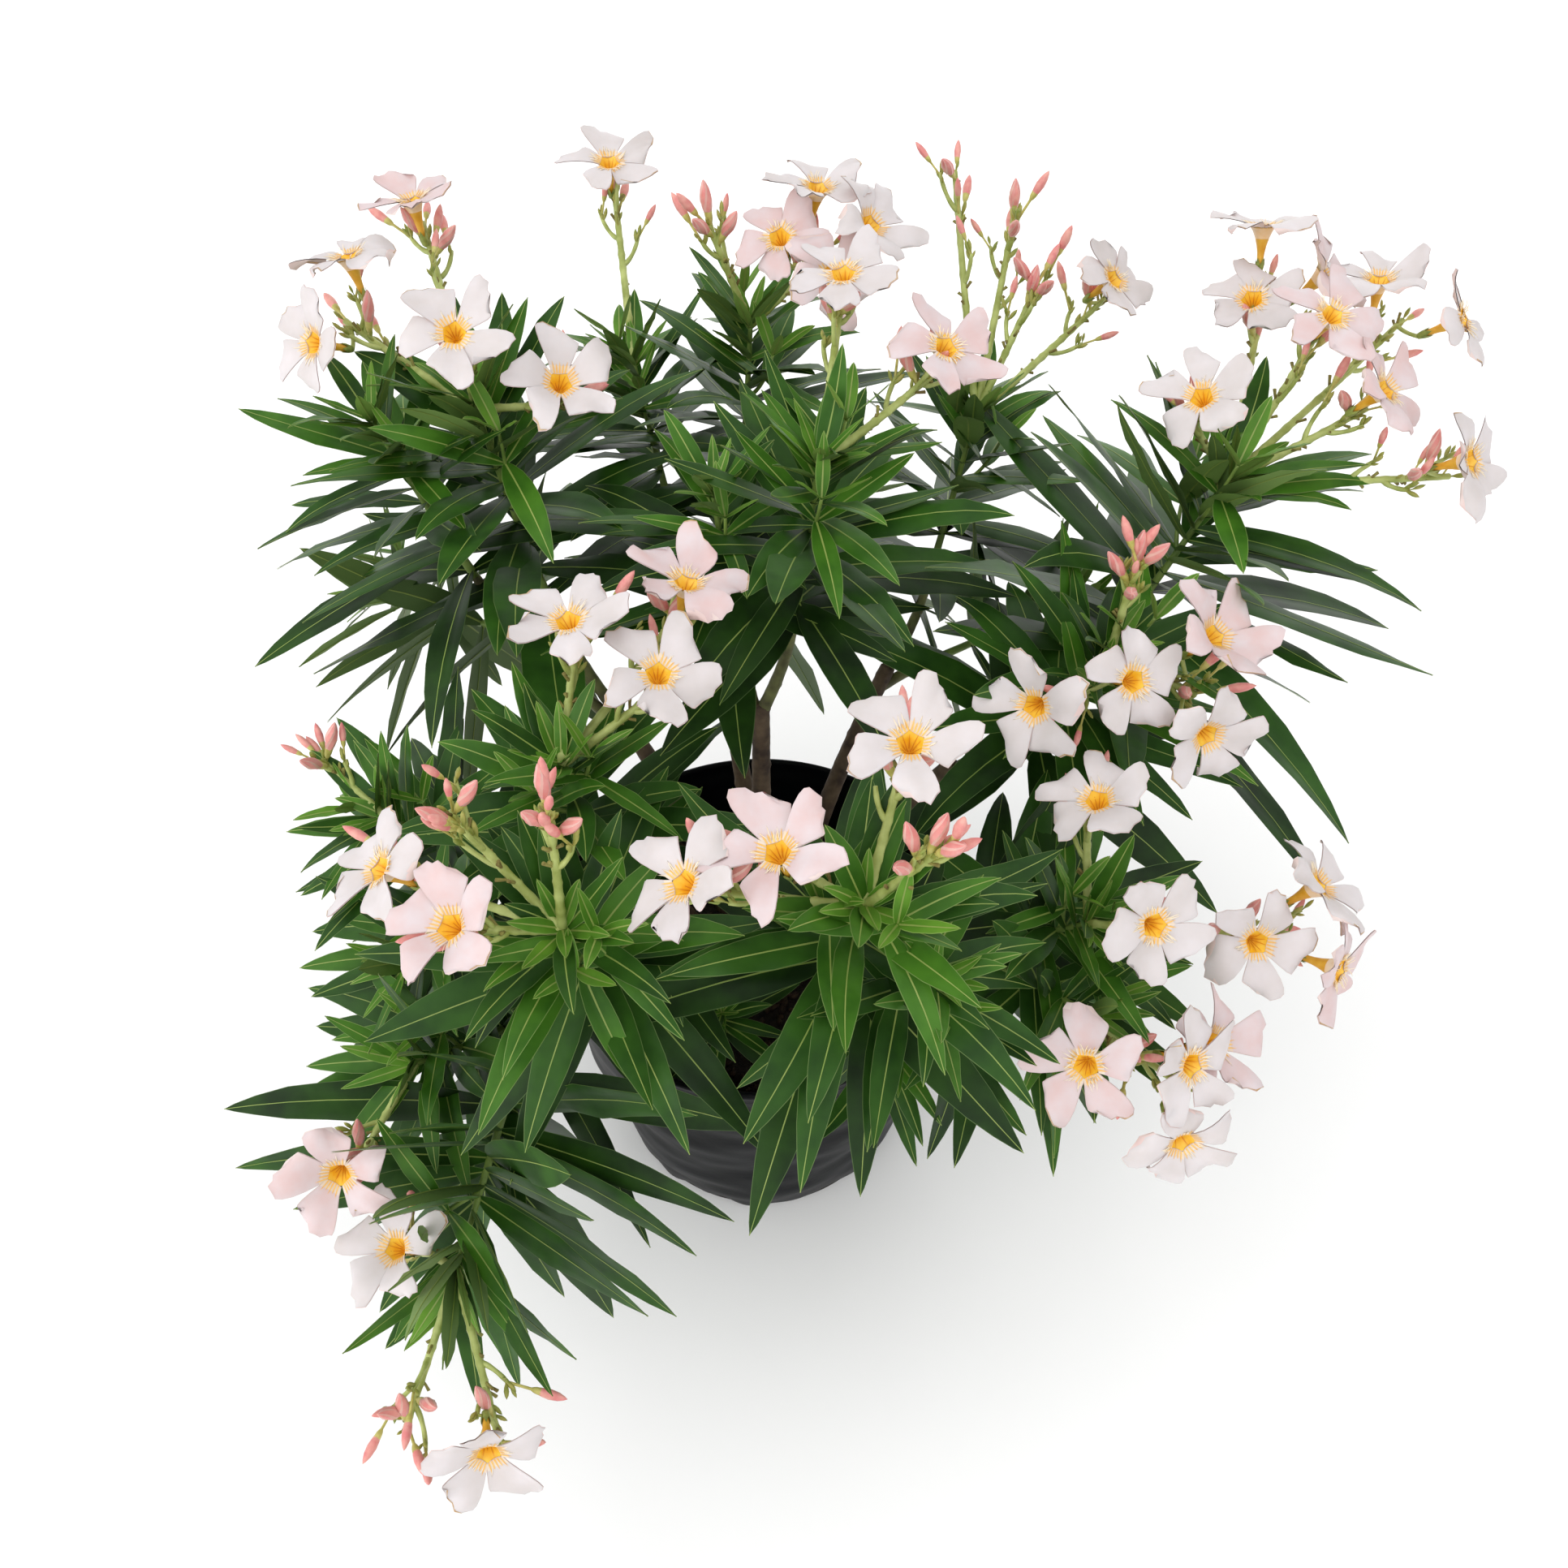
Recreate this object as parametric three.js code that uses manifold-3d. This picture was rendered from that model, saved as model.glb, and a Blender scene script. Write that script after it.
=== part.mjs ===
// A potted oleander in flower: a black nursery pot, its soil, the stems, the boughs that fork from
// them, and the leafy flowering shoots. Millimetres, +Z up, origin at the centre of the pot's flat
// underside. A heading is in degrees round the pot's axis: 0 is +X, 90 is +Y.
import * as THREE from "three";
import { mergeVertices } from "three/addons/utils/BufferGeometryUtils.js";
import Module from "manifold-3d";

const wasm = await Module();
wasm.setup();

// ---- Driving dimensions ----

const GAP = 0.3; // between two pieces that touch
const FUSED_DETAILS = [0.1, 0.13, 0.17, 0.22, 0.3, 0.4]; // edges this fine may go where leaves fuse
const CLEARANCE = 0.5; // round a leaf or a bloom, to its neighbours in other masses

const POT = {
  rim: 125, // outer radius of the lip
  foot: 93, // outer radius of the flat underside
  height: 206,
  wall: 2.5,
  floor: 3,
  band: 22, // height of the stepped band under the lip
  step: 1.8, // how far each of the band's two steps stands out
  lobes: 8, // rounded feet round the bottom edge
  lobeDepth: 3,
  lobeHeight: 24,
  segments: 32,
};
const SOIL_TOP = 156;

// Each stem: where it leaves the soil (heading, reach), where it forks (heading, reach, height),
// and its radius at the two ends.
const STEMS = {
  left_back: { foot: [118, 43], fork: [138, 105, 300], radii: [6.5, 4.8] },
  back: { foot: [90, 48], fork: [101, 114, 305], radii: [6, 4.6] },
  centre: { foot: [79, 10], fork: [87, 42, 345], radii: [6.5, 4.8] },
  right_back: { foot: [66, 44], fork: [55, 135, 305], radii: [6, 4.6] },
  right: { foot: [33, 33], fork: [17, 117, 305], radii: [6.8, 5] },
  right_front: { foot: [-14, 25], fork: [-30, 101, 275], radii: [6.2, 4.8] },
  front: { foot: [-68, 27], fork: [-72, 79, 305], radii: [6, 4.6] },
  left_front: { foot: [-157, 30], fork: [-135, 88, 300], radii: [6.5, 4.8] },
  left: { foot: [146, 46], fork: [176, 105, 275], radii: [5.4, 4.2] },
  low_left: { foot: [169, 43], fork: [-148, 132, 262], radii: [5.2, 4.2] },
  rim: { foot: [-48, 62], radii: [3.2, 2.6] },
  young: { foot: [-112, 52], radii: [2.8, 2.2] },
};

// Each leafy shoot: the stem that carries it, its growing tip (heading, reach, height), how long its
// leafy stretch is, how much that stretch turns upwards (lift), its longest leaf, its whorls, and its
// flower trusses. A truss is [heading, tilt from upright, length, blooms, buds], from the growing tip.
const SHOOTS = {
  front_upper: {
    stem: "front", tip: [-74, 178, 450], leafy: 105, lift: 0.7, leaf: 120, whorls: 7,
    trusses: [[-174, 71, 79, 1, 2], [178, 47, 50, 1, 1], [64, 32, 74, 1, 2], [-11, 32, 50, 0, 4]],
  },
  front_lower: {
    stem: "front", tip: [-66, 200, 412], leafy: 90, lift: 0.4, leaf: 92, whorls: 5, trusses: [],
  },
  front_left: {
    stem: "left_front", tip: [-116, 185, 426], leafy: 110, lift: 0.5, leaf: 118, whorls: 7,
    trusses: [[168, 75, 82, 1, 1], [-147, 51, 60, 1, 1], [152, 44, 72, 0, 2], [84, 8, 69, 0, 3]],
  },
  middle_left: {
    stem: "left_front", tip: [-138, 119, 435], leafy: 95, lift: 0.8, leaf: 112, whorls: 7,
    trusses: [[73, 22, 72, 1, 0], [9, 43, 71, 1, 1], [42, 51, 102, 1, 2]],
  },
  right_front_upper: {
    stem: "right_front", tip: [-36, 200, 362], leafy: 95, lift: 0.3, leaf: 112, whorls: 7,
    trusses: [[90, 27, 64, 1, 1], [-51, 44, 50, 1, 1], [-1, 93, 106, 3, 2]],
  },
  right_front_lower: {
    stem: "right_front", tip: [-43, 222, 335], leafy: 90, lift: 0, leaf: 110, whorls: 6,
    trusses: [[-69, 67, 46, 2, 1], [-40, 96, 62, 2, 1]],
  },
  right_middle: {
    stem: "right", tip: [-1, 177, 433], leafy: 105, lift: 0.5, leaf: 122, whorls: 7,
    trusses: [[-116, 75, 47, 2, 0], [-36, 82, 53, 2, 1], [62, 19, 45, 0, 4]],
  },
  crown_far_right: {
    stem: "right", tip: [22, 268, 456], leafy: 120, lift: 0.5, leaf: 166, whorls: 9,
    trusses: [
      [170, 25, 54, 1, 1], [72, 62, 126, 3, 1], [40, 37, 94, 1, 1],
      [36, 65, 140, 2, 1], [6, 54, 87, 1, 1], [-10, 76, 118, 1, 2],
    ],
  },
  crown_centre: {
    stem: "centre", tip: [58, 60, 506], leafy: 105, lift: 0.6, leaf: 122, whorls: 8,
    trusses: [[80, 48, 91, 1, 2], [33, 62, 82, 1, 2]],
  },
  crown_centre_low: {
    stem: "centre", tip: [108, 66, 478], leafy: 85, lift: 0.6, leaf: 108, whorls: 5, trusses: [],
  },
  crown_left: {
    stem: "left_back", tip: [142, 182, 493], leafy: 120, lift: 0.5, leaf: 145, whorls: 8,
    trusses: [[153, 64, 90, 2, 1], [110, 64, 125, 1, 2], [-90, 17, 59, 1, 1], [-21, 61, 59, 1, 1]],
  },
  crown_far_left: {
    stem: "left_back", tip: [151, 225, 487], leafy: 104, lift: 0.4, leaf: 120, whorls: 6, trusses: [],
  },
  crown_back: {
    stem: "back", tip: [91, 202, 482], leafy: 105, lift: 0.5, leaf: 120, whorls: 7,
    trusses: [[-6, 34, 72, 4, 1], [170, 20, 62, 0, 3]],
  },
  crown_back_left: {
    stem: "back", tip: [109, 216, 456], leafy: 95, lift: 0.3, leaf: 118, whorls: 7,
    trusses: [[99, 53, 116, 1, 1]],
  },
  crown_back_right: {
    stem: "right_back", tip: [56, 222, 435], leafy: 110, lift: 0.4, leaf: 122, whorls: 7,
    trusses: [[35, 61, 108, 1, 1], [97, 48, 137, 0, 1], [76, 53, 115, 0, 2], [48, 37, 78, 0, 3]],
  },
  left_upper: {
    stem: "left", tip: [-170, 197, 340], leafy: 90, lift: 0.5, leaf: 118, whorls: 7,
    trusses: [[149, 58, 44, 0, 2]],
  },
  left_lower: {
    stem: "left", tip: [-154, 206, 286], leafy: 85, lift: 0.2, leaf: 122, whorls: 5, trusses: [],
  },
  low_left_upper: {
    stem: "low_left", tip: [-142, 225, 265], leafy: 80, lift: 0.5, leaf: 128, whorls: 6,
    trusses: [[-109, 79, 75, 1, 2]],
  },
  low_left_hanging: {
    stem: "low_left", tip: [-122, 279, 234], leafy: 104, lift: -0.05, leaf: 142, whorls: 8,
    trusses: [[170, 67, 31, 1, 0], [-74, 98, 89, 1, 1], [-108, 117, 78, 0, 3]],
  },
  left_drooping: {
    stem: "left_back", tip: [145, 286, 314], leafy: 110, lift: -0.3, leaf: 112, whorls: 6, trusses: [],
  },
  back_low: {
    stem: "back", tip: [85, 231, 350], leafy: 85, lift: 0.1, leaf: 120, whorls: 5, trusses: [],
  },
  right_back_low: {
    stem: "right_back", tip: [38, 242, 330], leafy: 95, lift: 0.1, leaf: 120, whorls: 5, trusses: [],
  },
  rim_shoot: {
    stem: "rim", tip: [-60, 150, 262], leafy: 45, lift: 0.2, leaf: 64, whorls: 4, trusses: [],
  },
  young_shoot: {
    stem: "young", tip: [-103, 88, 230], leafy: 36, lift: 0.6, leaf: 58, whorls: 4, trusses: [],
  },
};

const STEM_SIDES = 6;
const STEM_STEPS = 3;
const STEM_RISE = { at: 0.4, height: 0.16, reach: 0.45 }; // where and how far a stem's axis bends
const BOUGH_SIDES = 5;
const BOUGH_STEPS = 2;
const BOUGH = { from: 0.97, step: 0.06, radius: 0.78, reach: 0.45 }; // where boughs leave their stem

// How a shoot grows. Shares are of its leafy stretch, and heights run from 0 at its foot to 1.
const SHOOT_RADII = [2.6, 1.3];
const SHOOT_SIDES = 3;
const SHOOT_STEPS = 2;
const SHOOT_DIP = 0.04; // how far the middle of its axis hangs below the line that it starts on
const LEAF_SLIMNESS = 4.7; // length over width
const LEAF_THICKNESS = 1 / 80; // of its length
const WIDEST_AT = 0.45; // of the way from a leaf's root to its tip
const FREE_FROM = 0.12; // of its length, where a leaf stands clear of its own twig and whorl
const WHORL = { first: 0.04, last: 0.98, turn: 60 }; // each whorl of three turns against the one below
const PITCH = { foot: 90, rise: 50, power: 1.6 }; // a leaf's angle to the shoot, in degrees
const LENGTH = { loss: 0.55, power: 2.2 }; // how leaves shorten towards the tip
const SAG = { foot: 0.36, loss: 0.7 }; // how far a leaf droops, and how that fades towards the tip
const JITTER = { heading: 12, pitch: 8, length: 0.1, roll: 14, droop: 0.12 };
const LEVEL = 0.5; // how much a leaf's face turns upwards rather than along its shoot
const TRIES = [ // what is tried, one after the other, for a leaf with no room
  { turn: 0, sag: 0, share: 1 },
  { turn: 13, sag: 0.15, share: 1 },
  { turn: -13, sag: -0.2, share: 0.95 },
  { turn: 24, sag: -0.35, share: 0.8 },
  { turn: -24, sag: 0.3, share: 0.65 },
];

// How a truss flowers. Blooms turn towards the light and along their truss's stalk.
const LIGHT = new THREE.Vector3(0, -0.55, 0.83).normalize();
const BLOOM = { notch: 11, petal: 27, rise: 2, throat: 4.5, neck: 4 };
const BLOOM_SPREAD = 24; // from the middle of a truss to each of its blooms
const BLOOM_LEAN = { stalk: 0.8, several: 0.75, single: 0.35 }; // how far a bloom turns from the light
const BUD = { length: 27, radius: 2.8, widest: 0.66, spread: [0.51, 1.02], light: 0.4 };
const STALK_RADII = [1.5, 1.1];
const STALK_SIDES = 3;
const STALK_STEPS = 1;
const STALK_ROOTS = { last: 0.97, step: 0.08 }; // where blooms and buds leave the stalk
const HUB_DROP = 26; // from a truss's blooms back to where their stalks part
const STALK_TURNS = [0, 8, -8, 16, -16]; // degrees that a stalk turns to find room
const BLOOM_TRIES = { count: 4, turn: 18, out: 6 }; // each try turns a bloom and moves it to the light
const SEEDS = { trusses: [7919, 101], leaves: [1009, 97] }; // the first shoot's, and the step to the next

const COLOURS = { pot: 0x24272c, soil: 0x1d1511, stem: 0x5a4a34, bough: 0x5f6638, foliage: 0x2b5227 };

// ---- Small geometry ----

const vector = (x, y, z) => new THREE.Vector3(x, y, z);
const UP = vector(0, 0, 1);
const radians = THREE.MathUtils.degToRad;

// The point at a heading, a distance from the pot's axis and a height.
function polar(heading, reach, height) {
  return vector(reach * Math.cos(radians(heading)), reach * Math.sin(radians(heading)), height);
}

// The unit vector with a heading and a tilt from upright.
function aim(heading, tilt) {
  return polar(heading, Math.sin(radians(tilt)), Math.cos(radians(tilt)));
}

// The sum of a point and any number of [vector, share] pairs.
function along(point, ...steps) {
  return steps.reduce((sum, [step, share]) => sum.addScaledVector(step, share), point.clone());
}

// A closed solid from its corners and its triangles.
function solid(corners, triangles) {
  const vertProperties = new Float32Array(corners.flatMap((c) => c.toArray()));
  return new wasm.Manifold(
    new wasm.Mesh({ numProp: 3, vertProperties, triVerts: new Uint32Array(triangles.flat()) }),
  );
}

// A closed solid from a three.js geometry.
function solidOf(geometry) {
  geometry.deleteAttribute("normal");
  geometry.deleteAttribute("uv");
  const merged = mergeVertices(geometry, 1e-3);
  const vertProperties = merged.attributes.position.array;
  const triVerts = new Uint32Array(merged.index.array);
  return new wasm.Manifold(new wasm.Mesh({ numProp: 3, vertProperties, triVerts }));
}

// The largest body of a solid. Loose scraps go, and so does the inner wall of a sealed hollow.
function largest(joined) {
  return joined.decompose().sort((a, b) => b.volume() - a.volume())[0];
}

// One body from pieces that run into each other. Leaves that cross leave edges finer than can be seen,
// which are smoothed away: the finest smoothing that keeps every corner apart is taken.
function fused(pieces) {
  const joined = wasm.Manifold.union(pieces);
  let body;
  for (const detail of FUSED_DETAILS) {
    body = largest(joined.simplify(detail));
    const { numProp, numVert, vertProperties } = body.getMesh();
    const places = new Set();
    for (let i = 0; i < numVert; i++) {
      const corner = vertProperties.subarray(i * numProp, i * numProp + 3);
      places.add(Array.from(corner, (c) => c.toFixed(3)).join());
    }
    if (places.size === numVert) break;
  }
  return body;
}

// A named mesh of a solid, with a plain material.
function meshOf(name, made, color, roughness) {
  const { numProp, numVert, vertProperties, triVerts } = made.getMesh();
  const positions = new Float32Array(numVert * 3);
  for (let i = 0; i < numVert; i++)
    positions.set(vertProperties.subarray(i * numProp, i * numProp + 3), i * 3);
  const geometry = new THREE.BufferGeometry()
    .setAttribute("position", new THREE.BufferAttribute(positions, 3))
    .setIndex(new THREE.BufferAttribute(triVerts, 1));
  geometry.computeVertexNormals();
  const material = new THREE.MeshStandardMaterial({ color, roughness, metalness: 0 });
  const mesh = new THREE.Mesh(geometry, material);
  mesh.name = name;
  return mesh;
}

// Random numbers from 0 to 1 that are the same on every run.
function seeded(seed) {
  let state = seed;
  return () => {
    state = (Math.imul(1664525, state) + 1013904223) >>> 0;
    return state / 2 ** 32;
  };
}

// ---- Pot and soil ----

// The pot's inner radius at a height.
function innerRadius(height) {
  const share = height / (POT.height - POT.band);
  return THREE.MathUtils.lerp(POT.foot, POT.rim - 2 * POT.step - 1, share) - POT.wall;
}

// The pot is turned in one piece: flat underside, tapering wall, a band with two steps, a rolled lip.
// Its bottom edge is then pushed out into rounded feet.
function pot() {
  const bandFoot = POT.height - POT.band;
  const bandMiddle = POT.height - POT.band / 2;
  const profile = [
    [0, 0], [POT.foot - 4, 0], [POT.foot, 5], [innerRadius(POT.lobeHeight) + POT.wall, POT.lobeHeight],
    [innerRadius(bandFoot / 2) + POT.wall, bandFoot / 2], [innerRadius(bandFoot) + POT.wall, bandFoot],
    [POT.rim - POT.step - 1, bandFoot], [POT.rim - POT.step - 1, bandMiddle],
    [POT.rim - 1, bandMiddle + 1], [POT.rim - 1, POT.height - 4], [POT.rim, POT.height - 2.5],
    [POT.rim - 1, POT.height], [POT.rim - 4, POT.height - 1], [POT.rim - POT.step - 4, bandMiddle],
    [innerRadius(bandFoot), bandFoot], [innerRadius(POT.floor), POT.floor], [0, POT.floor],
  ].map(([radius, height]) => new THREE.Vector2(radius, height));
  const turned = new THREE.LatheGeometry(profile, POT.segments).rotateX(Math.PI / 2);
  const places = turned.attributes.position;
  for (let i = 0; i < places.count; i++) {
    const [x, y, z] = [places.getX(i), places.getY(i), places.getZ(i)];
    const radius = Math.hypot(x, y);
    if (z > 0 && z < POT.lobeHeight && radius > POT.foot - 1) {
      const lobe = 0.5 - 0.5 * Math.cos(POT.lobes * Math.atan2(x, -y) + Math.PI);
      const push = 1 - (POT.lobeDepth * (1 - lobe) * (1 - z / POT.lobeHeight)) / radius;
      places.setXY(i, x * push, y * push);
    }
  }
  return solidOf(turned);
}

function soil() {
  const bottom = POT.floor + GAP;
  const profile = [
    [0, bottom], [innerRadius(bottom) - GAP, bottom], [innerRadius(SOIL_TOP) - GAP, SOIL_TOP],
    [0, SOIL_TOP],
  ].map(([radius, height]) => new THREE.Vector2(radius, height));
  return solidOf(new THREE.LatheGeometry(profile, POT.segments).rotateX(Math.PI / 2));
}

// ---- Stems and boughs ----

// A bent axis that leaves its start towards the bend and reaches its end from there.
function bent(start, bend, end) {
  return new THREE.QuadraticBezierCurve3(start, bend, end);
}

// A tapering limb: rings of corners round a bent axis, joined into one surface with flat ends.
// The axis lies in a plane, so the plane's normal carries each ring on without a twist.
// A limb that stands on the soil has a level foot.
function limb(axis, [footRadius, tipRadius], sides, steps, { grow = 0, level = false } = {}) {
  const across = along(axis.v1, [axis.v0, -1]).cross(along(axis.v2, [axis.v0, -1]));
  if (across.length() < 1) across.crossVectors(along(axis.v2, [axis.v0, -1]), vector(1, 0.3, 0.2));
  across.normalize();
  const corners = [];
  const triangles = [];
  for (let i = 0; i <= steps; i++) {
    const tangent = axis.getTangent(i / steps);
    const other = tangent.clone().cross(across);
    const end = i === 0 ? -grow : i === steps ? grow : 0;
    const centre = along(axis.getPoint(i / steps), [tangent, end]);
    const taper = THREE.MathUtils.lerp(footRadius, tipRadius, i / steps);
    const radius = taper + grow / Math.cos(Math.PI / sides);
    for (let k = 0; k < sides; k++) {
      const turn = (2 * Math.PI * k) / sides;
      const corner = along(centre, [across, radius * Math.cos(turn)], [other, radius * Math.sin(turn)]);
      if (level && i === 0) corner.z = centre.z;
      corners.push(corner);
      const [here, next] = [i * sides + k, i * sides + ((k + 1) % sides)];
      if (i < steps) triangles.push([here, next, next + sides], [here, next + sides, here + sides]);
    }
  }
  for (let k = 1; k < sides - 1; k++) {
    const last = steps * sides;
    triangles.push([0, k + 1, k], [last, last + k, last + k + 1]);
  }
  return solid(corners, triangles);
}

// The axis of a shoot's leafy stretch, from its foot to its growing tip.
function shootAxis(shoot) {
  const tip = polar(...shoot.tip);
  const stem = STEMS[shoot.stem];
  const from = stem.fork ? polar(...stem.fork) : polar(...stem.foot, SOIL_TOP);
  const lean = along(tip, [from, -1]).normalize().addScaledVector(UP, shoot.lift).normalize();
  const foot = along(tip, [lean, -shoot.leafy]);
  const bend = along(foot, [lean, shoot.leafy / 2], [UP, -SHOOT_DIP * shoot.leafy]);
  return bent(foot, bend, tip);
}

// A stem rises steeply from the soil and leans out towards its fork, or towards its only shoot.
function stemAxis(stem, shoot) {
  const foot = polar(...stem.foot, SOIL_TOP + GAP);
  const top = stem.fork ? polar(...stem.fork) : along(shoot.v0, [shoot.getTangent(0), -GAP]);
  const bend = stem.fork
    ? along(foot.clone().lerp(top, STEM_RISE.at), [UP, STEM_RISE.height * foot.distanceTo(top)])
    : along(top, [shoot.getTangent(0), -STEM_RISE.reach * foot.distanceTo(top)]);
  return bent(foot, bend, top);
}

// A bough leaves its stem a little below the fork and reaches the foot of its shoot in line with it.
function boughAxis(stem, shoot, order) {
  const start = stem.getPoint(BOUGH.from - BOUGH.step * order);
  const direction = shoot.getTangent(0);
  const end = along(shoot.v0, [direction, -GAP]);
  return bent(start, along(end, [direction, -BOUGH.reach * start.distanceTo(end)]), end);
}

// ---- Leaves, blooms and buds ----

// A leaf has eight faces between its root, its tip, its two edges, and the rib and keel that make its
// thickness. Its rib runs outwards and sags: rib(t) = root + length (t outward - sag t^2 / 2 up).
function leaf({ root, outward, side, length, sag }, start = 0, grow = 0) {
  const rib = (t) => along(root, [outward, length * t], [UP, (-length * sag * t * t) / 2]);
  const middle = rib(WIDEST_AT);
  const upper = side.clone().cross(outward).normalize();
  const half = length / LEAF_SLIMNESS / 2 + grow;
  const thick = (length * LEAF_THICKNESS) / 2 + grow;
  const corners = [
    rib(start), rib(1), along(middle, [side, half]), along(middle, [side, -half]),
    along(middle, [upper, thick]), along(middle, [upper, -thick]),
  ];
  return solid(corners, [
    [0, 2, 4], [0, 4, 3], [1, 4, 2], [1, 3, 4], [0, 5, 2], [0, 3, 5], [1, 2, 5], [1, 5, 3],
  ]);
}

// Two unit vectors square to a direction and to each other.
function squareTo(direction) {
  const helper = Math.abs(direction.z) > 0.9 ? vector(1, 0, 0) : UP;
  const first = helper.clone().cross(direction).normalize();
  return [first, direction.clone().cross(first)];
}

// A bloom is a star of five petals with notches between them, over a tube that tapers into the bloom's
// own stalk and ends at its root on the truss's.
function bloom(root, centre, facing, spin, grow = 0) {
  const [first, second] = squareTo(facing);
  const place = (radius, turn, rise) => {
    const angle = radians(turn + spin);
    const outward = along(vector(0, 0, 0), [first, Math.cos(angle)], [second, Math.sin(angle)]);
    return along(centre, [outward, radius], [facing, rise]);
  };
  const corners = [along(centre, [facing, grow]), root];
  const triangles = [];
  for (let petal = 0; petal < 5; petal++) {
    const turn = 72 * petal;
    corners.push(
      place(BLOOM.notch + grow, turn - 36, 0), place(BLOOM.petal + grow, turn, BLOOM.rise),
      place(BLOOM.throat + grow, turn - 36, -BLOOM.neck - grow),
    );
    const [notch, end, throat] = [2, 3, 4].map((k) => 3 * petal + k);
    const [nextNotch, nextThroat] = [notch, throat].map((k) => ((k + 1) % 15) + 2);
    triangles.push(
      [0, notch, end], [0, end, nextNotch], [throat, end, notch],
      [throat, nextThroat, end], [nextThroat, nextNotch, end], [1, nextThroat, throat],
    );
  }
  return solid(corners, triangles);
}

// A spindle with three sides: a bud on its own short stalk.
function bud(root, direction) {
  const [first, second] = squareTo(direction);
  const corners = [root, along(root, [direction, BUD.length])];
  for (const turn of [0, 120, 240].map(radians))
    corners.push(along(root, [direction, BUD.length * BUD.widest],
      [first, BUD.radius * Math.cos(turn)], [second, BUD.radius * Math.sin(turn)]));
  return solid(corners, [[0, 3, 2], [0, 4, 3], [0, 2, 4], [1, 2, 3], [1, 3, 4], [1, 4, 2]]);
}

// ---- Growing ----

// What already stands in the plant's space. Two solids meet if they share any volume.
const standing = [];
function claim(owner, made) {
  standing.push({ owner, made, box: made.boundingBox() });
}
function meets(made, isNeighbour) {
  const { min, max } = made.boundingBox();
  return standing.some((other) => {
    if (!isNeighbour(other.owner)) return false;
    for (let i = 0; i < 3; i++)
      if (max[i] < other.box.min[i] || min[i] > other.box.max[i]) return false;
    const common = made.intersect(other.made);
    const met = !common.isEmpty();
    common.delete();
    return met;
  });
}

// The whorls of one shoot, three leaves each: wide and long at its foot, short and steep at its tip.
function whorls(shoot, axis, seed) {
  const random = seeded(seed);
  const jitter = (size) => size * (2 * random() - 1);
  const leaves = [];
  const first = 360 * random();
  for (let w = 0; w < shoot.whorls; w++) {
    const height = THREE.MathUtils.lerp(WHORL.first, WHORL.last, w / (shoot.whorls - 1));
    const direction = axis.getTangent(height);
    const [east, north] = squareTo(direction);
    for (let k = 0; k < 3; k++) {
      const heading = first + WHORL.turn * w + 120 * k + jitter(JITTER.heading);
      const pitch = PITCH.foot - PITCH.rise * height ** PITCH.power + jitter(JITTER.pitch);
      const shortened = shoot.leaf * (1 - LENGTH.loss * height ** LENGTH.power);
      const length = shortened * (1 + jitter(JITTER.length));
      const roll = jitter(JITTER.roll);
      const sag = SAG.foot * (1 - SAG.loss * height) + jitter(JITTER.droop);
      leaves.push({ at: axis.getPoint(height), direction, east, north, heading, pitch, length, roll, sag });
    }
  }
  return leaves;
}

// Turns a leaf's angles into the vectors that leaf() needs.
function posed({ at, direction, east, north, heading, pitch, length, roll, sag }, attempt) {
  const angle = radians(heading + attempt.turn);
  const away = along(vector(0, 0, 0), [east, Math.cos(angle)], [north, Math.sin(angle)]);
  const outward = along(vector(0, 0, 0), [direction, Math.cos(radians(pitch))],
    [away, Math.sin(radians(pitch))]);
  const level = along(direction, [UP, LEVEL]).normalize();
  const side = outward.clone().cross(level).normalize();
  side.applyAxisAngle(outward, radians(roll));
  const root = along(at, [away, -0.5 * SHOOT_RADII[1]]);
  return { root, outward, side, length: length * attempt.share, sag: sag + attempt.sag };
}

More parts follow.
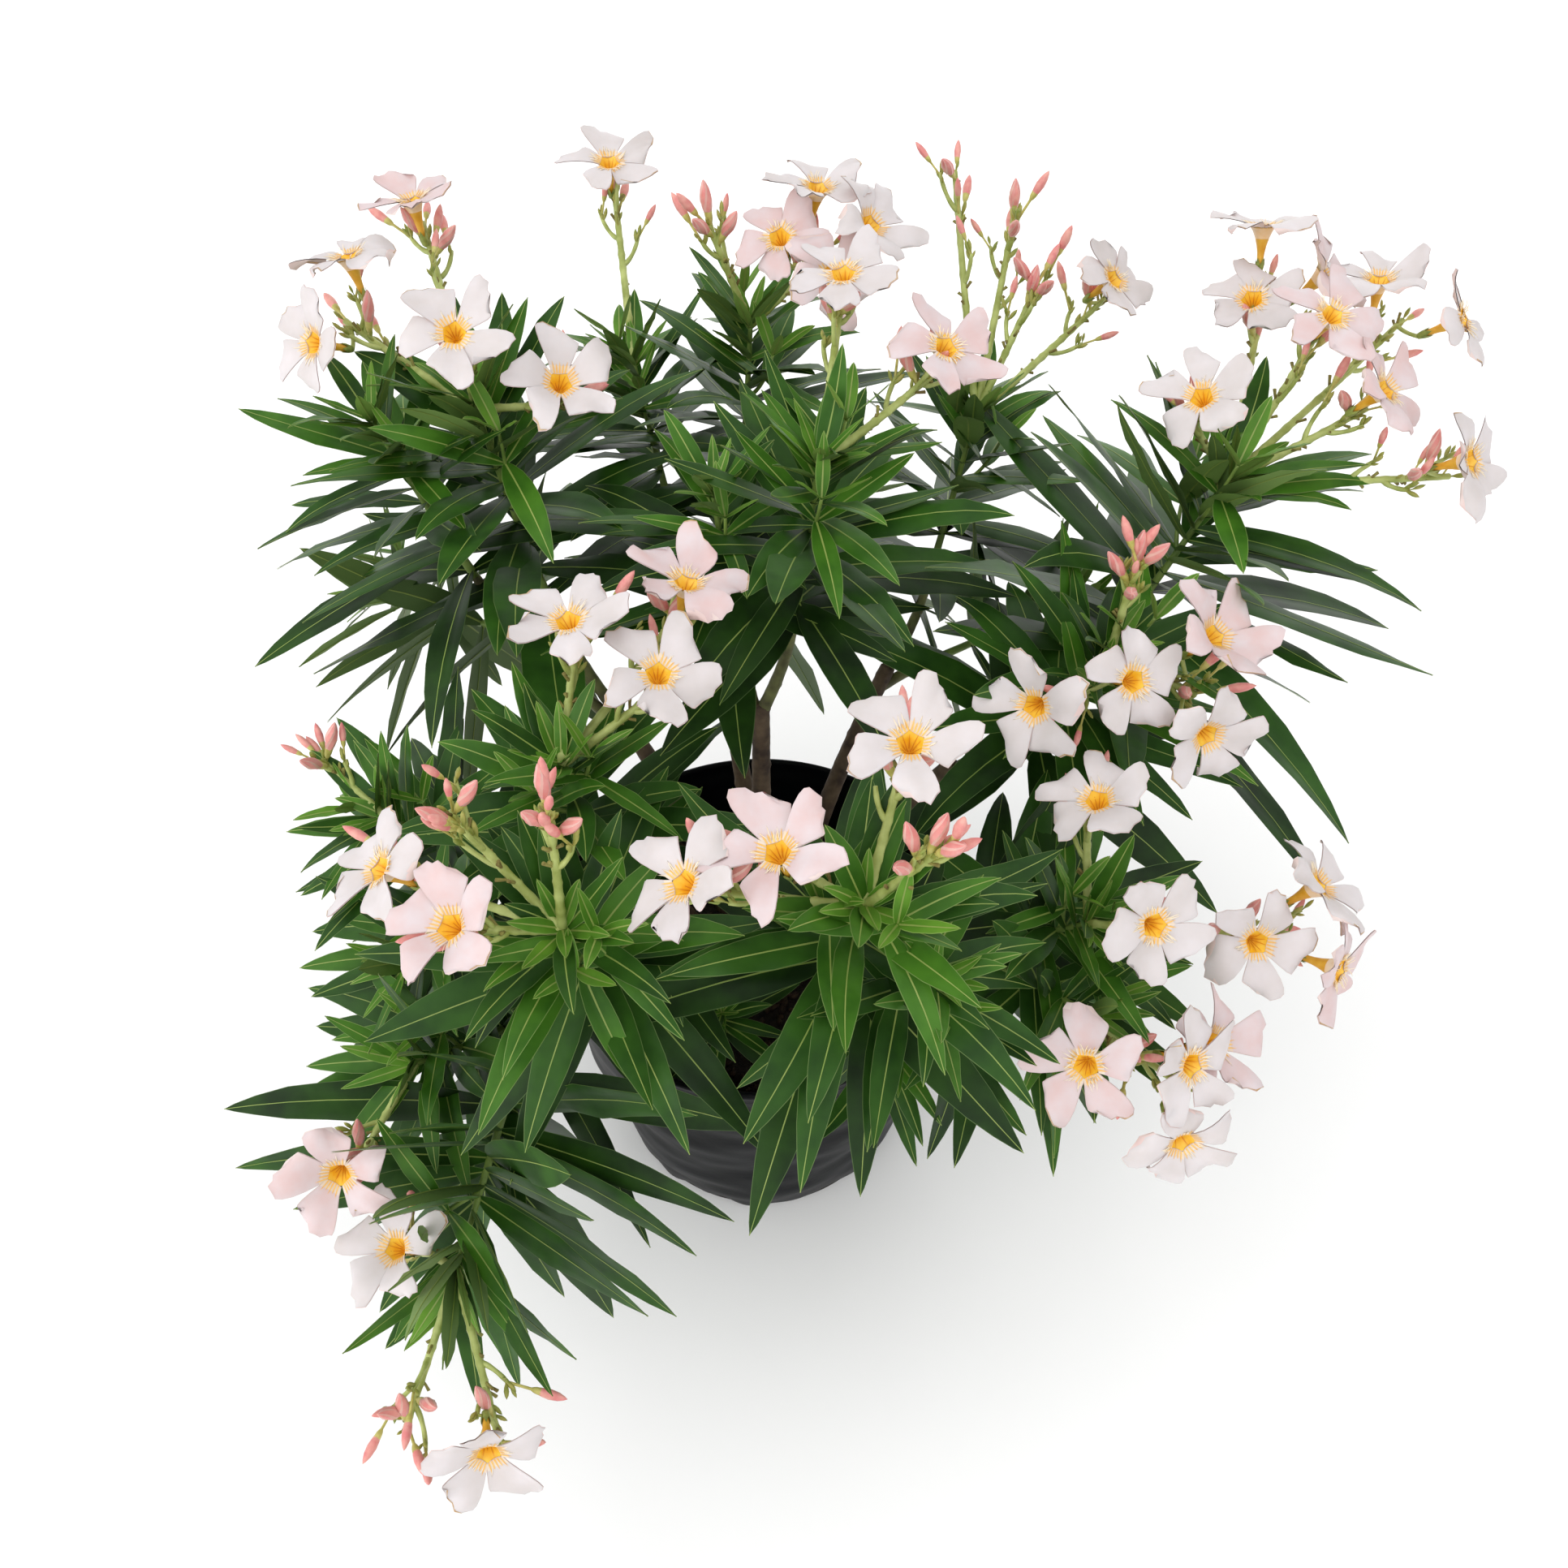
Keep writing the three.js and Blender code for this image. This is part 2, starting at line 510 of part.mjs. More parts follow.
// The blooms and buds of one truss, on a stalk from the shoot's tip. What has no room is turned or moved
// out a little towards the light, and left out if that doesn't help.
function growTruss(name, tip, [heading, tilt, length, blooms, buds], random) {
  const crowded = (made) => meets(made, (owner) => !owner.startsWith(name + " "));
  const pieces = [];
  const first = 2 * Math.PI * random();
  const spins = Array.from({ length: blooms }, () => 72 * random());
  const spreads = Array.from({ length: buds }, () => THREE.MathUtils.lerp(...BUD.spread, random()));
  const [east, north] = squareTo(LIGHT);
  const fan = (share) => {
    const angle = first + 2 * Math.PI * share;
    return along(vector(0, 0, 0), [east, Math.cos(angle)], [north, Math.sin(angle)]);
  };
  let middle, stalk;
  for (const turn of STALK_TURNS) {
    middle = along(tip, [aim(heading + turn, tilt), length]);
    const hub = blooms ? along(middle, [LIGHT, -HUB_DROP]) : middle;
    stalk = bent(tip, tip.clone().lerp(hub, 0.5), hub);
    if (!crowded(limb(stalk, STALK_RADII, STALK_SIDES, STALK_STEPS, { grow: CLEARANCE }))) break;
  }
  const rootAt = (place) => stalk.getPoint(STALK_ROOTS.last - STALK_ROOTS.step * place);
  pieces.push(limb(stalk, STALK_RADII, STALK_SIDES, STALK_STEPS));
  spins.forEach((spin, k) => {
    const outward = fan(k / blooms);
    const spread = blooms > 1 ? BLOOM_SPREAD : 0;
    const fanned = blooms > 1 ? BLOOM_LEAN.several : BLOOM_LEAN.single;
    const facing = along(LIGHT, [aim(heading, tilt), BLOOM_LEAN.stalk], [outward, fanned]).normalize();
    const root = rootAt(k);
    for (let attempt = 0; attempt < BLOOM_TRIES.count; attempt++) {
      const centre = along(middle, [outward, spread], [LIGHT, BLOOM_TRIES.out * attempt]);
      const turn = spin + BLOOM_TRIES.turn * attempt;
      if (crowded(bloom(root, centre, facing, turn, CLEARANCE))) continue;
      pieces.push(bloom(root, centre, facing, turn));
      break;
    }
  });
  spreads.forEach((spread, k) => {
    const direction = along(UP, [LIGHT, BUD.light], [fan((k + 0.5) / buds), spread]).normalize();
    const made = bud(rootAt(blooms + k), direction);
    if (!crowded(made)) pieces.push(made);
  });
  return pieces;
}

// ---- Assembly ----

const plant = new THREE.Group();
const vessel = { pot: pot(), soil: soil() };
claim("pot", vessel.pot);
claim("soil", vessel.soil);
plant.add(meshOf("pot", vessel.pot, COLOURS.pot, 0.45), meshOf("soil", vessel.soil, COLOURS.soil, 0.95));

// Stems, then the boughs of each stem. A bough is cut clear of its stem and of the boughs before it.
const shootAxes = Object.fromEntries(
  Object.entries(SHOOTS).map(([name, shoot]) => [name, shootAxis(shoot)]),
);
for (const [stemName, stem] of Object.entries(STEMS)) {
  const carried = Object.keys(SHOOTS).filter((name) => SHOOTS[name].stem === stemName);
  const axis = stemAxis(stem, shootAxes[carried[0]]);
  const trunk = limb(axis, stem.radii, STEM_SIDES, STEM_STEPS, { level: true });
  const cutters = [limb(axis, stem.radii, STEM_SIDES, STEM_STEPS, { grow: GAP })];
  claim("stem_" + stemName, trunk);
  plant.add(meshOf("stem_" + stemName, trunk, COLOURS.stem, 0.8));
  if (!stem.fork) continue;
  carried.forEach((name, order) => {
    const course = boughAxis(axis, shootAxes[name], order);
    const radii = [BOUGH.radius * stem.radii[1], SHOOT_RADII[0]];
    const whole = limb(course, radii, BOUGH_SIDES, BOUGH_STEPS);
    const made = largest(cutters.reduce((rest, cutter) => rest.subtract(cutter), whole));
    cutters.push(limb(course, radii, BOUGH_SIDES, BOUGH_STEPS, { grow: GAP }));
    claim("bough_" + name, made);
    plant.add(meshOf("bough_" + name, made, COLOURS.bough, 0.75));
  });
}

// The shoots' own stems and trusses come first, so that leaves give way to them.
const masses = {};
Object.entries(SHOOTS).forEach(([name, shoot], index) => {
  const core = limb(shootAxes[name], SHOOT_RADII, SHOOT_SIDES, SHOOT_STEPS);
  claim(name + " twig", core);
  masses[name] = [core];
  const random = seeded(SEEDS.trusses[0] + SEEDS.trusses[1] * index);
  for (const truss of shoot.trusses)
    for (const piece of growTruss(name, shootAxes[name].v2, truss, random)) {
      claim(name + " flowers", piece);
      masses[name].push(piece);
    }
});

// Then each shoot's leaves, which skip what has no room.
Object.entries(SHOOTS).forEach(([name, shoot], index) => {
  for (const grown of whorls(shoot, shootAxes[name], SEEDS.leaves[0] + SEEDS.leaves[1] * index)) {
    const attempt = TRIES.find((option) => {
      const [whole, outer] = [0, FREE_FROM].map((start) => leaf(posed(grown, option), start, CLEARANCE));
      return !meets(whole, (owner) => !owner.startsWith(name + " ")) &&
        !meets(outer, (owner) => owner === name + " flowers" || owner === name + " leaves");
    });
    if (!attempt) continue;
    const made = leaf(posed(grown, attempt));
    claim(name + " roots", made);
    claim(name + " leaves", leaf(posed(grown, attempt), FREE_FROM));
    masses[name].push(made);
  }
});

for (const [name, pieces] of Object.entries(masses))
  plant.add(meshOf("mass_" + name, fused(pieces), COLOURS.foliage, 0.55));

export default plant;
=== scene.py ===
"""A potted oleander in flower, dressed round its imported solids: pot, potting mix, woody stems and
boughs, leafy shoots in whorls of three, flower trusses with blooms and buds, and a plain studio."""
import math

import bmesh
import bpy
import numpy as np
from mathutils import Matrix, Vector


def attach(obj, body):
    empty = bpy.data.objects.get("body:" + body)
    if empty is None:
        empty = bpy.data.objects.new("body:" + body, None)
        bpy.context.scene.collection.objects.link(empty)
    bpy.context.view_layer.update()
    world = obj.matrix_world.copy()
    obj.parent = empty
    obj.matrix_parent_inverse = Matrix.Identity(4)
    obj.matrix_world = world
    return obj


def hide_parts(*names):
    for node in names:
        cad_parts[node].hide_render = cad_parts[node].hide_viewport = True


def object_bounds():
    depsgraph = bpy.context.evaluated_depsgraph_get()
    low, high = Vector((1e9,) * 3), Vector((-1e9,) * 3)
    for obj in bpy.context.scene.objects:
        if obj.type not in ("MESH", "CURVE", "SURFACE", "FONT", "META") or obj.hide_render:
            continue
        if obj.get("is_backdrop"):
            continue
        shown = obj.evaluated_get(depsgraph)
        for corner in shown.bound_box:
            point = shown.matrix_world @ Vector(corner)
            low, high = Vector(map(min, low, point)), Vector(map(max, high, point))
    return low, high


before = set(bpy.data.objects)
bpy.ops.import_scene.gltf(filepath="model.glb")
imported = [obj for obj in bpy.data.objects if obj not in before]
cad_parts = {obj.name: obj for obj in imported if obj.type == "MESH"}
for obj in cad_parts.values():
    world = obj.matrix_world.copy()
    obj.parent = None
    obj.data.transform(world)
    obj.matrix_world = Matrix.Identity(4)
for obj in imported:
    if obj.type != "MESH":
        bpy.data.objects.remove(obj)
cad_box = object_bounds()

# ---- Pot ----
# A black nursery pot, injection-moulded in polypropylene: flat underside with rounded feet, a
# tapering wall that the soil has pushed into waves and creases, a rim band in two steps, a rolled lip.

MM = 0.001
WELD = 0.01
POT_HEIGHT = 206.0
POT_FOOT = 93.0
POT_RIM = 125.0
POT_WALL = 2.5
POT_FLOOR = 3.0
POT_BAND = 22.0
POT_STEP = 1.8
POT_SHOULDER = POT_RIM - 2 * POT_STEP - 1
BAND_FOOT = POT_HEIGHT - POT_BAND
BAND_MIDDLE = POT_HEIGHT - POT_BAND / 2
LOBES = 8
LOBE_DEPTH = 3.0
LOBE_HEIGHT = 24.0
CRIMPS = 17
CRIMP_DEPTH = 1.2
# The wall's waves: depth in millimetres, waves round the pot, slope up the wall, start.
POT_WAVES = (
    (1.2, 3, 0.022, 0), (0.9, 7, -0.05, 1), (0.7, 2, 0.11, 0), (0.4, -5, 0.21, 0), (0.22, 8, 0.33, 0),
)
POT_SWELL = 1.0
WAVE_FADE = 30
POT_TURNS = 240


def surface(name, grids, material, around=False, turned_over=False):
    """A smooth mesh from grids of points in millimetres, shaped (pieces, rows, columns, 3). Four
    neighbouring points are two triangles, which look along their columns' direction crossed with
    their rows' direction, or the other way when turned over; around joins the last column to the
    first. Points closer than the weld distance become one, which closes poles. The piece rides on
    the one body, and takes its finish from the slot."""
    corners = []
    faces = []
    start = 0
    for grid in grids:
        pieces, rows, columns, _ = grid.shape
        index = start + np.arange(pieces * rows * columns).reshape(pieces, rows, columns)
        beside = np.roll(index, -1, axis=2)
        last = columns if around else columns - 1
        here, right, far, above = (
            found[:, :, :last] for found in (index[:, :-1], beside[:, :-1], beside[:, 1:], index[:, 1:])
        )
        ways = [(here, right, far), (here, far, above)]
        if turned_over:
            ways = [way[::-1] for way in ways]
        corners.append(grid.reshape(-1, 3))
        faces += [np.stack(way, axis=-1).reshape(-1, 3) for way in ways]
        start += pieces * rows * columns
    mesh = bpy.data.meshes.new(name)
    mesh.from_pydata(np.concatenate(corners) * MM, [], np.concatenate(faces))
    welded = bmesh.new()
    welded.from_mesh(mesh)
    bmesh.ops.remove_doubles(welded, verts=welded.verts, dist=WELD * MM)
    welded.to_mesh(mesh)
    welded.free()
    mesh.polygons.foreach_set("use_smooth", np.ones(len(mesh.polygons), bool))
    mesh.materials.append(material)
    made = bpy.data.objects.new(name, mesh)
    bpy.context.scene.collection.objects.link(made)
    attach(made, "root")
    return made


def linear(code):
    """An sRGB hex colour as linear red, green, blue and full alpha."""
    shares = [int(code[k:k + 2], 16) / 255 for k in (0, 2, 4)]
    return [s / 12.92 if s <= 0.04045 else ((s + 0.055) / 1.055) ** 2.4 for s in shares] + [1.0]


def node(tree, kind, inputs=None, **settings):
    """Adds a node with its settings. An input is a value, or another node's output to link in."""
    made = tree.nodes.new(kind)
    for key, value in settings.items():
        setattr(made, key, value)
    for key, value in (inputs or {}).items():
        if isinstance(value, bpy.types.NodeSocket):
            tree.links.new(value, made.inputs[key])
        else:
            made.inputs[key].default_value = value
    return made


def mottled(name, dark, light, spot, roughness, relief=0.0, **sockets):
    """A finish whose colour drifts between two tones in soft spots of a size in millimetres, with a
    fine relief in millimetres. Further sockets of the shader are set by name."""
    made = bpy.data.materials.new(name)
    made.use_nodes = True
    tree = made.node_tree
    shader = tree.nodes["Principled BSDF"]
    shader.inputs["Roughness"].default_value = roughness
    for key, value in sockets.items():
        shader.inputs[key.replace("_", " ")].default_value = value
    place = node(tree, "ShaderNodeTexCoord").outputs["Object"]
    drift = node(tree, "ShaderNodeTexNoise", {"Vector": place, "Scale": 1 / (spot * MM), "Detail": 3.0})
    spread = node(tree, "ShaderNodeMapRange", {0: drift.outputs["Fac"], 1: 0.32, 2: 0.68})
    tone = node(
        tree, "ShaderNodeMix", {0: spread.outputs[0], 6: linear(dark), 7: linear(light)},
        data_type="RGBA",
    )
    tree.links.new(tone.outputs[2], shader.inputs["Base Color"])
    if relief:
        grain = node(tree, "ShaderNodeTexNoise", {"Vector": place, "Scale": 4 / (spot * MM), "Detail": 4.0})
        bump = node(
            tree, "ShaderNodeBump",
            {"Height": grain.outputs["Fac"], "Distance": relief * MM, "Strength": 1.0},
        )
        tree.links.new(bump.outputs["Normal"], shader.inputs["Normal"])
    return made


def pot_inside(height):
    """The wall's inner radius: it widens evenly from the foot to just under the band's steps."""
    return POT_FOOT + (POT_SHOULDER - POT_FOOT) * height / BAND_FOOT - POT_WALL


def pot_grid():
    """The profile of radius and height is turned about the upright axis. Round the foot the radius
    dips between the lobes and is crimped by small bumps, and up the wall it swells and sinks by
    slow waves and slanting creases."""
    foot = [[0, 0], [POT_FOOT - 8, 0], [POT_FOOT - 4, 0], [POT_FOOT - 1.5, 1.2], [POT_FOOT, 4.5]]
    rising = np.r_[8, 14, 19, np.linspace(LOBE_HEIGHT, BAND_FOOT - 3, 40)]
    outer = [[pot_inside(h) + POT_WALL, h] for h in rising]
    step = POT_RIM - POT_STEP
    band = [
        [step - 2.2, BAND_FOOT - 1], [step - 1, BAND_FOOT], [step - 1, BAND_FOOT + 1],
        [step - 1, BAND_MIDDLE - 1], [step - 0.4, BAND_MIDDLE], [POT_RIM - 1, BAND_MIDDLE + 0.6],
        [POT_RIM - 1, BAND_MIDDLE + 2], [POT_RIM - 1, POT_HEIGHT - 5], [POT_RIM, POT_HEIGHT - 3.6],
        [POT_RIM + 0.2, POT_HEIGHT - 2], [POT_RIM - 0.8, POT_HEIGHT - 0.4], [POT_RIM - 2.2, POT_HEIGHT],
        [POT_RIM - 3.6, POT_HEIGHT - 0.6], [POT_RIM - 4, POT_HEIGHT - 2], [POT_RIM - 4, BAND_MIDDLE + 1],
        [step - 4, BAND_MIDDLE - 1], [step - 4, BAND_FOOT + 1],
    ]
    falling = np.linspace(BAND_FOOT - 1, POT_FLOOR, 24)
    inner = [[pot_inside(h) + 0.55 * math.sin(0.9 * h), h] for h in falling]
    floor = [[pot_inside(POT_FLOOR) - 3, POT_FLOOR - 0.2], [0, POT_FLOOR]]
    profile = np.array(foot + outer + band + inner + floor)
    turn = 2 * math.pi * np.arange(POT_TURNS) / POT_TURNS
    radius = np.repeat(profile[:, :1], POT_TURNS, axis=1)
    height = np.repeat(profile[:, 1:], POT_TURNS, axis=1)
    low = np.clip(1 - height / LOBE_HEIGHT, 0, 1) * (radius > POT_FOOT - 9)
    lobe = 0.5 - 0.5 * np.cos(LOBES * (turn + math.pi / 2) + math.pi)
    on_wall = np.clip(height / WAVE_FADE, 0, 1) * np.clip((BAND_FOOT - 6 - height) / WAVE_FADE, 0, 1)
    wave = POT_SWELL + sum(
        depth * np.sin(waves * turn + slope * height + start) for depth, waves, slope, start in POT_WAVES
    )
    crimp = CRIMP_DEPTH * (1 + np.sin(CRIMPS * turn + 2 * np.sin(3 * turn)))
    radius = radius - (LOBE_DEPTH * (1 - lobe) + crimp) * low + wave * on_wall
    return np.stack([radius * np.cos(turn), radius * np.sin(turn), height], axis=-1)[None]


# Moulded polypropylene, filled with carbon black: a faint grey sheen over shallow dents.
pot_plastic = mottled(
    "black_moulded_polypropylene", "050608", "0d0f13", 60, 0.45, 0.4, Specular_IOR_Level=0.11,
)
pot_shell = surface("pot_shell", [pot_grid()], pot_plastic, around=True)
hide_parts("pot")

# ---- Potting mix ----
# Dark peat and composted bark, filled by hand and settled by watering: a closed body to the pot's
# floor with a lumpy top, and loose chips of bark and a few grains of grit pressed into it.

SOIL_TOP = 156.0
SOIL_GAP = 0.3
SOIL_INSET = SOIL_GAP + 0.6
SOIL_TURNS = 160
SOIL_SIDE_ROWS, SOIL_TOP_ROWS = 8, 59
LUMP_SIZES = (70, 41, 23, 13, 8, 5)
LUMP_RISE = 0.055
CHIPS = 900
CHIP_SIZES = (1.2, 4.5)


def lumps(x, y):
    """The height of the mix above its level: waves of six sizes that cross at odd angles."""
    total = np.zeros_like(x)
    for k, size in enumerate(LUMP_SIZES):
        angle = 1.9 * k + 0.4
        along = x * math.cos(angle) + y * math.sin(angle)
        across = y * math.cos(angle) - x * math.sin(angle)
        along, across = 2 * math.pi * along / size, 2 * math.pi * across / size
        total += LUMP_RISE * size * np.sin(along + k) * np.cos(across)
    return total


def soil_grid():
    """Rings from the middle of the underside, out, up the pot's wall, and back over the lumpy top."""
    turn = 2 * math.pi * np.arange(SOIL_TURNS) / SOIL_TURNS
    bottom = POT_FLOOR + SOIL_GAP
    low, high = pot_inside(bottom) - SOIL_INSET, pot_inside(SOIL_TOP) - SOIL_INSET
    side = np.linspace([low, bottom], [high, SOIL_TOP], SOIL_SIDE_ROWS)
    reach = np.r_[0, low, side[:, 0], np.linspace(high, 0, SOIL_TOP_ROWS + 1)[1:]]
    height = np.r_[bottom, bottom, side[:, 1], np.full(SOIL_TOP_ROWS, SOIL_TOP)]
    x, y = reach[:, None] * np.cos(turn), reach[:, None] * np.sin(turn)
    on_top = (np.arange(len(reach)) > SOIL_SIDE_ROWS + 1) * np.clip((high - reach) / 8, 0, 1)
    z = height[:, None] + (lumps(x, y) - 0.5) * on_top[:, None]
    return np.stack([x, y, z], axis=-1)[None]


def unit(vectors):
    """Each vector over its own length."""
    return vectors / np.linalg.norm(vectors, axis=-1, keepdims=True)


def chip_grids(draw, count):
    """Flat flakes: a ring of six corners between two poles, each flake with its own size and turn."""
    reach = (pot_inside(SOIL_TOP) - 6) * np.sqrt(draw.random(count))
    turn = 2 * math.pi * draw.random(count)
    x, y = reach * np.cos(turn), reach * np.sin(turn)
    size = draw.uniform(*CHIP_SIZES, count)
    centre = np.stack([x, y, SOIL_TOP + lumps(x, y)], axis=-1)
    first = unit(draw.normal(size=(count, 3)) * [1, 1, 0.35])
    second = unit(np.cross(first, draw.normal(size=(count, 3)) * 0.4 + [0, 0, 1]))
    third = np.cross(first, second)
    ring = 2 * math.pi * np.arange(6) / 6
    wide = size[:, None] * draw.uniform(0.7, 1.1, (count, 6))
    across = wide[..., None] * (
        first[:, None] * np.cos(ring)[:, None] + 0.55 * second[:, None] * np.sin(ring)[:, None]
    )
    thick = (0.22 * size)[:, None, None] * third[:, None]
    still = np.zeros_like(across)
    rows = [still - thick, across * 0.9 - thick, across + thick, still + thick]
    return centre[:, None, None] + np.stack(rows, axis=1)


# Damp peat: near black and quite matt. Its bark chips are dark brown, a little drier.
peat = mottled("damp_peat_mix", "120d0a", "2a1f17", 5, 0.95, 0.8)
bark_chip = mottled("composted_bark_chips", "241912", "4a3424", 4, 0.85, 0.3)
potting_mix = surface("potting_mix", [soil_grid()], peat, around=True)
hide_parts("soil")
surface("bark_chips", [chip_grids(np.random.default_rng(11), CHIPS)], bark_chip, around=True)

# ---- Stems ----
# Young woody stems that rise steeply from the mix and lean out to their forks: thin grey-brown bark
# with a ring of leaf scars every few centimetres, and a slight flare at the foot.

# Where each leaves the mix (heading, reach), where it forks (heading, reach, height), end radii.
STEMS = {
    "left_back": ((118, 43), (138, 105, 300), (6.5, 4.8)),
    "back": ((90, 48), (101, 114, 305), (6, 4.6)),
    "centre": ((79, 10), (87, 42, 345), (6.5, 4.8)),
    "right_back": ((66, 44), (55, 135, 305), (6, 4.6)),
    "right": ((33, 33), (17, 117, 305), (6.8, 5)),
    "right_front": ((-14, 25), (-30, 101, 275), (6.2, 4.8)),
    "front": ((-68, 27), (-72, 79, 305), (6, 4.6)),
    "left_front": ((-157, 30), (-135, 88, 300), (6.5, 4.8)),
    "left": ((146, 46), (176, 105, 275), (5.4, 4.2)),
    "low_left": ((169, 43), (-148, 132, 262), (5.2, 4.2)),
    "rim": ((-48, 62), None, (3.2, 2.6)),
    "young": ((-112, 52), None, (2.8, 2.2)),
}
# Each leafy shoot: its stem, growing tip (heading, reach, height), leafy length, how far that turns
# upwards, longest leaf, whorls, and trusses (heading, tilt from upright, length, blooms, buds).
SHOOTS = {
    "front_upper": ("front", (-74, 178, 450), 105, 0.7, 120, 7, (
        (-174, 71, 79, 1, 2), (178, 47, 50, 1, 1), (64, 32, 74, 1, 2), (-11, 32, 50, 0, 4))),
    "front_lower": ("front", (-66, 200, 412), 90, 0.4, 92, 5, ()),
    "front_left": ("left_front", (-116, 185, 426), 110, 0.5, 118, 7, (
        (168, 75, 82, 1, 1), (-147, 51, 60, 1, 1), (152, 44, 72, 0, 2), (84, 8, 69, 0, 3))),
    "middle_left": ("left_front", (-138, 119, 435), 95, 0.8, 112, 7, (
        (73, 22, 72, 1, 0), (9, 43, 71, 1, 1), (42, 51, 102, 1, 2))),
    "right_front_upper": ("right_front", (-36, 200, 362), 95, 0.3, 112, 7, (
        (90, 27, 64, 1, 1), (-51, 44, 50, 1, 1), (-1, 93, 106, 3, 2))),
    "right_front_lower": ("right_front", (-43, 222, 335), 90, 0, 110, 6, (
        (-69, 67, 46, 2, 1), (-40, 96, 62, 2, 1))),
    "right_middle": ("right", (-1, 177, 433), 105, 0.5, 122, 7, (
        (-116, 75, 47, 2, 0), (-36, 82, 53, 2, 1), (62, 19, 45, 0, 4))),
    "crown_far_right": ("right", (22, 268, 456), 120, 0.5, 166, 9, (
        (170, 25, 54, 1, 1), (72, 62, 126, 3, 1), (40, 37, 94, 1, 1),
        (36, 65, 140, 2, 1), (6, 54, 87, 1, 1), (-10, 76, 118, 1, 2))),
    "crown_centre": ("centre", (58, 60, 506), 105, 0.6, 122, 8, (
        (80, 48, 91, 1, 2), (33, 62, 82, 1, 2))),
    "crown_centre_low": ("centre", (108, 66, 478), 85, 0.6, 108, 5, ()),
    "crown_left": ("left_back", (142, 182, 493), 120, 0.5, 145, 8, (
        (153, 64, 90, 2, 1), (110, 64, 125, 1, 2), (-90, 17, 59, 1, 1), (-21, 61, 59, 1, 1))),
    "crown_far_left": ("left_back", (151, 225, 487), 104, 0.4, 120, 6, ()),
    "crown_back": ("back", (91, 202, 482), 105, 0.5, 120, 7, (
        (-6, 34, 72, 4, 1), (170, 20, 62, 0, 3))),
    "crown_back_left": ("back", (109, 216, 456), 95, 0.3, 118, 7, ((99, 53, 116, 1, 1),)),
    "crown_back_right": ("right_back", (56, 222, 435), 110, 0.4, 122, 7, (
        (35, 61, 108, 1, 1), (97, 48, 137, 0, 1), (76, 53, 115, 0, 2), (48, 37, 78, 0, 3))),
    "left_upper": ("left", (-170, 197, 340), 90, 0.5, 118, 7, ((149, 58, 44, 0, 2),)),
    "left_lower": ("left", (-154, 206, 286), 85, 0.2, 122, 5, ()),
    "low_left_upper": ("low_left", (-142, 225, 265), 80, 0.5, 128, 6, ((-109, 79, 75, 1, 2),)),
    "low_left_hanging": ("low_left", (-122, 279, 234), 104, -0.05, 142, 8, (
        (170, 67, 31, 1, 0), (-74, 98, 89, 1, 1), (-108, 117, 78, 0, 3))),
    "left_drooping": ("left_back", (145, 286, 314), 110, -0.3, 112, 6, ()),
    "back_low": ("back", (85, 231, 350), 85, 0.1, 120, 5, ()),
    "right_back_low": ("right_back", (38, 242, 330), 95, 0.1, 120, 5, ()),
    "rim_shoot": ("rim", (-60, 150, 262), 45, 0.2, 64, 4, ()),
    "young_shoot": ("young", (-103, 88, 230), 36, 0.6, 58, 4, ()),
}
UP = np.array([0.0, 0.0, 1.0])
STEM_SIDES = 20
STEM_ROWS = 150
STEM_FLARE = 0.3
FLARE_SHARE = 0.035
NODE_PITCH = 21.0
SCAR_HEIGHT = 1.7


def polar(heading, reach, height):
    """The point at a heading in degrees, a distance from the pot's axis and a height."""
    angle = math.radians(heading)
    return np.array([reach * math.cos(angle), reach * math.sin(angle), height])


def course(bends, shares):
    """Points and unit tangents of quadratic Bezier curves (curves, 3, 3) at shares of their way,
    either the same for all curves or a row of them for each."""
    start, bend, end = (bends[:, None, k] for k in range(3))
    share = np.atleast_2d(shares)[..., None]
    points = (1 - share) ** 2 * start + 2 * share * (1 - share) * bend + share**2 * end
    return points, unit((1 - share) * (bend - start) + share * (end - bend))


def tubes(bends, radii, shares, sides):
    """Round skins along curves: the curve's point plus the radius times a vector that turns in the
    plane square to the curve. radii is shaped (curves, rows) or (curves, rows, sides)."""
    points, tangents = course(bends, shares)
    across = np.cross(bends[:, 1] - bends[:, 0], bends[:, 2] - bends[:, 0])
    straight = np.linalg.norm(across, axis=1) < 1
    across[straight] = np.cross(bends[straight, 2] - bends[straight, 0], [1, 0.3, 0.2])
    across = unit(across)[:, None, None]
    other = np.cross(tangents[:, :, None], across)
    turn = (2 * math.pi * np.arange(sides) / sides)[:, None]
    radii = radii if radii.ndim == 3 else radii[..., None]
    return points[:, :, None] + radii[..., None] * (across * np.cos(turn) + other * np.sin(turn))


def bark_relief(lengths, shares, sides, depth, lean):
    """How far the bark stands out, in millimetres: at every node a ring swells, most at its three
    leaf scars, which turn by a sixth from node to node; between them run shallow wandering ribs."""
    run = lengths[:, None, None] * shares[None, :, None]
    turn = 2 * math.pi * np.arange(sides)[None, None, :] / sides
    number = np.round(run / NODE_PITCH)
    off_node = run - number * NODE_PITCH
    scar = np.clip(np.cos(3 * turn + math.pi * number), 0, 1) ** 2
    ring = np.exp(-((off_node / SCAR_HEIGHT) ** 2)) * (0.35 + 0.9 * scar)
    ribs = np.sin(5 * turn + 0.05 * run + lean) + np.sin(9 * turn - 0.09 * run + 2 * lean)
    return depth * (ring + 0.16 * ribs + 0.12 * np.sin(0.7 * run + 4 * turn))


def shares_to_end(rows):
    """Shares of a curve's way: its start twice, even steps, and two past its end for a round cap."""
    return np.r_[0, np.linspace(0, 1, rows), 1.006, 1.009]


def spans(bends):
    """The straight distance from each curve's start to its end."""
    return np.linalg.norm(bends[:, 2] - bends[:, 0], axis=1)


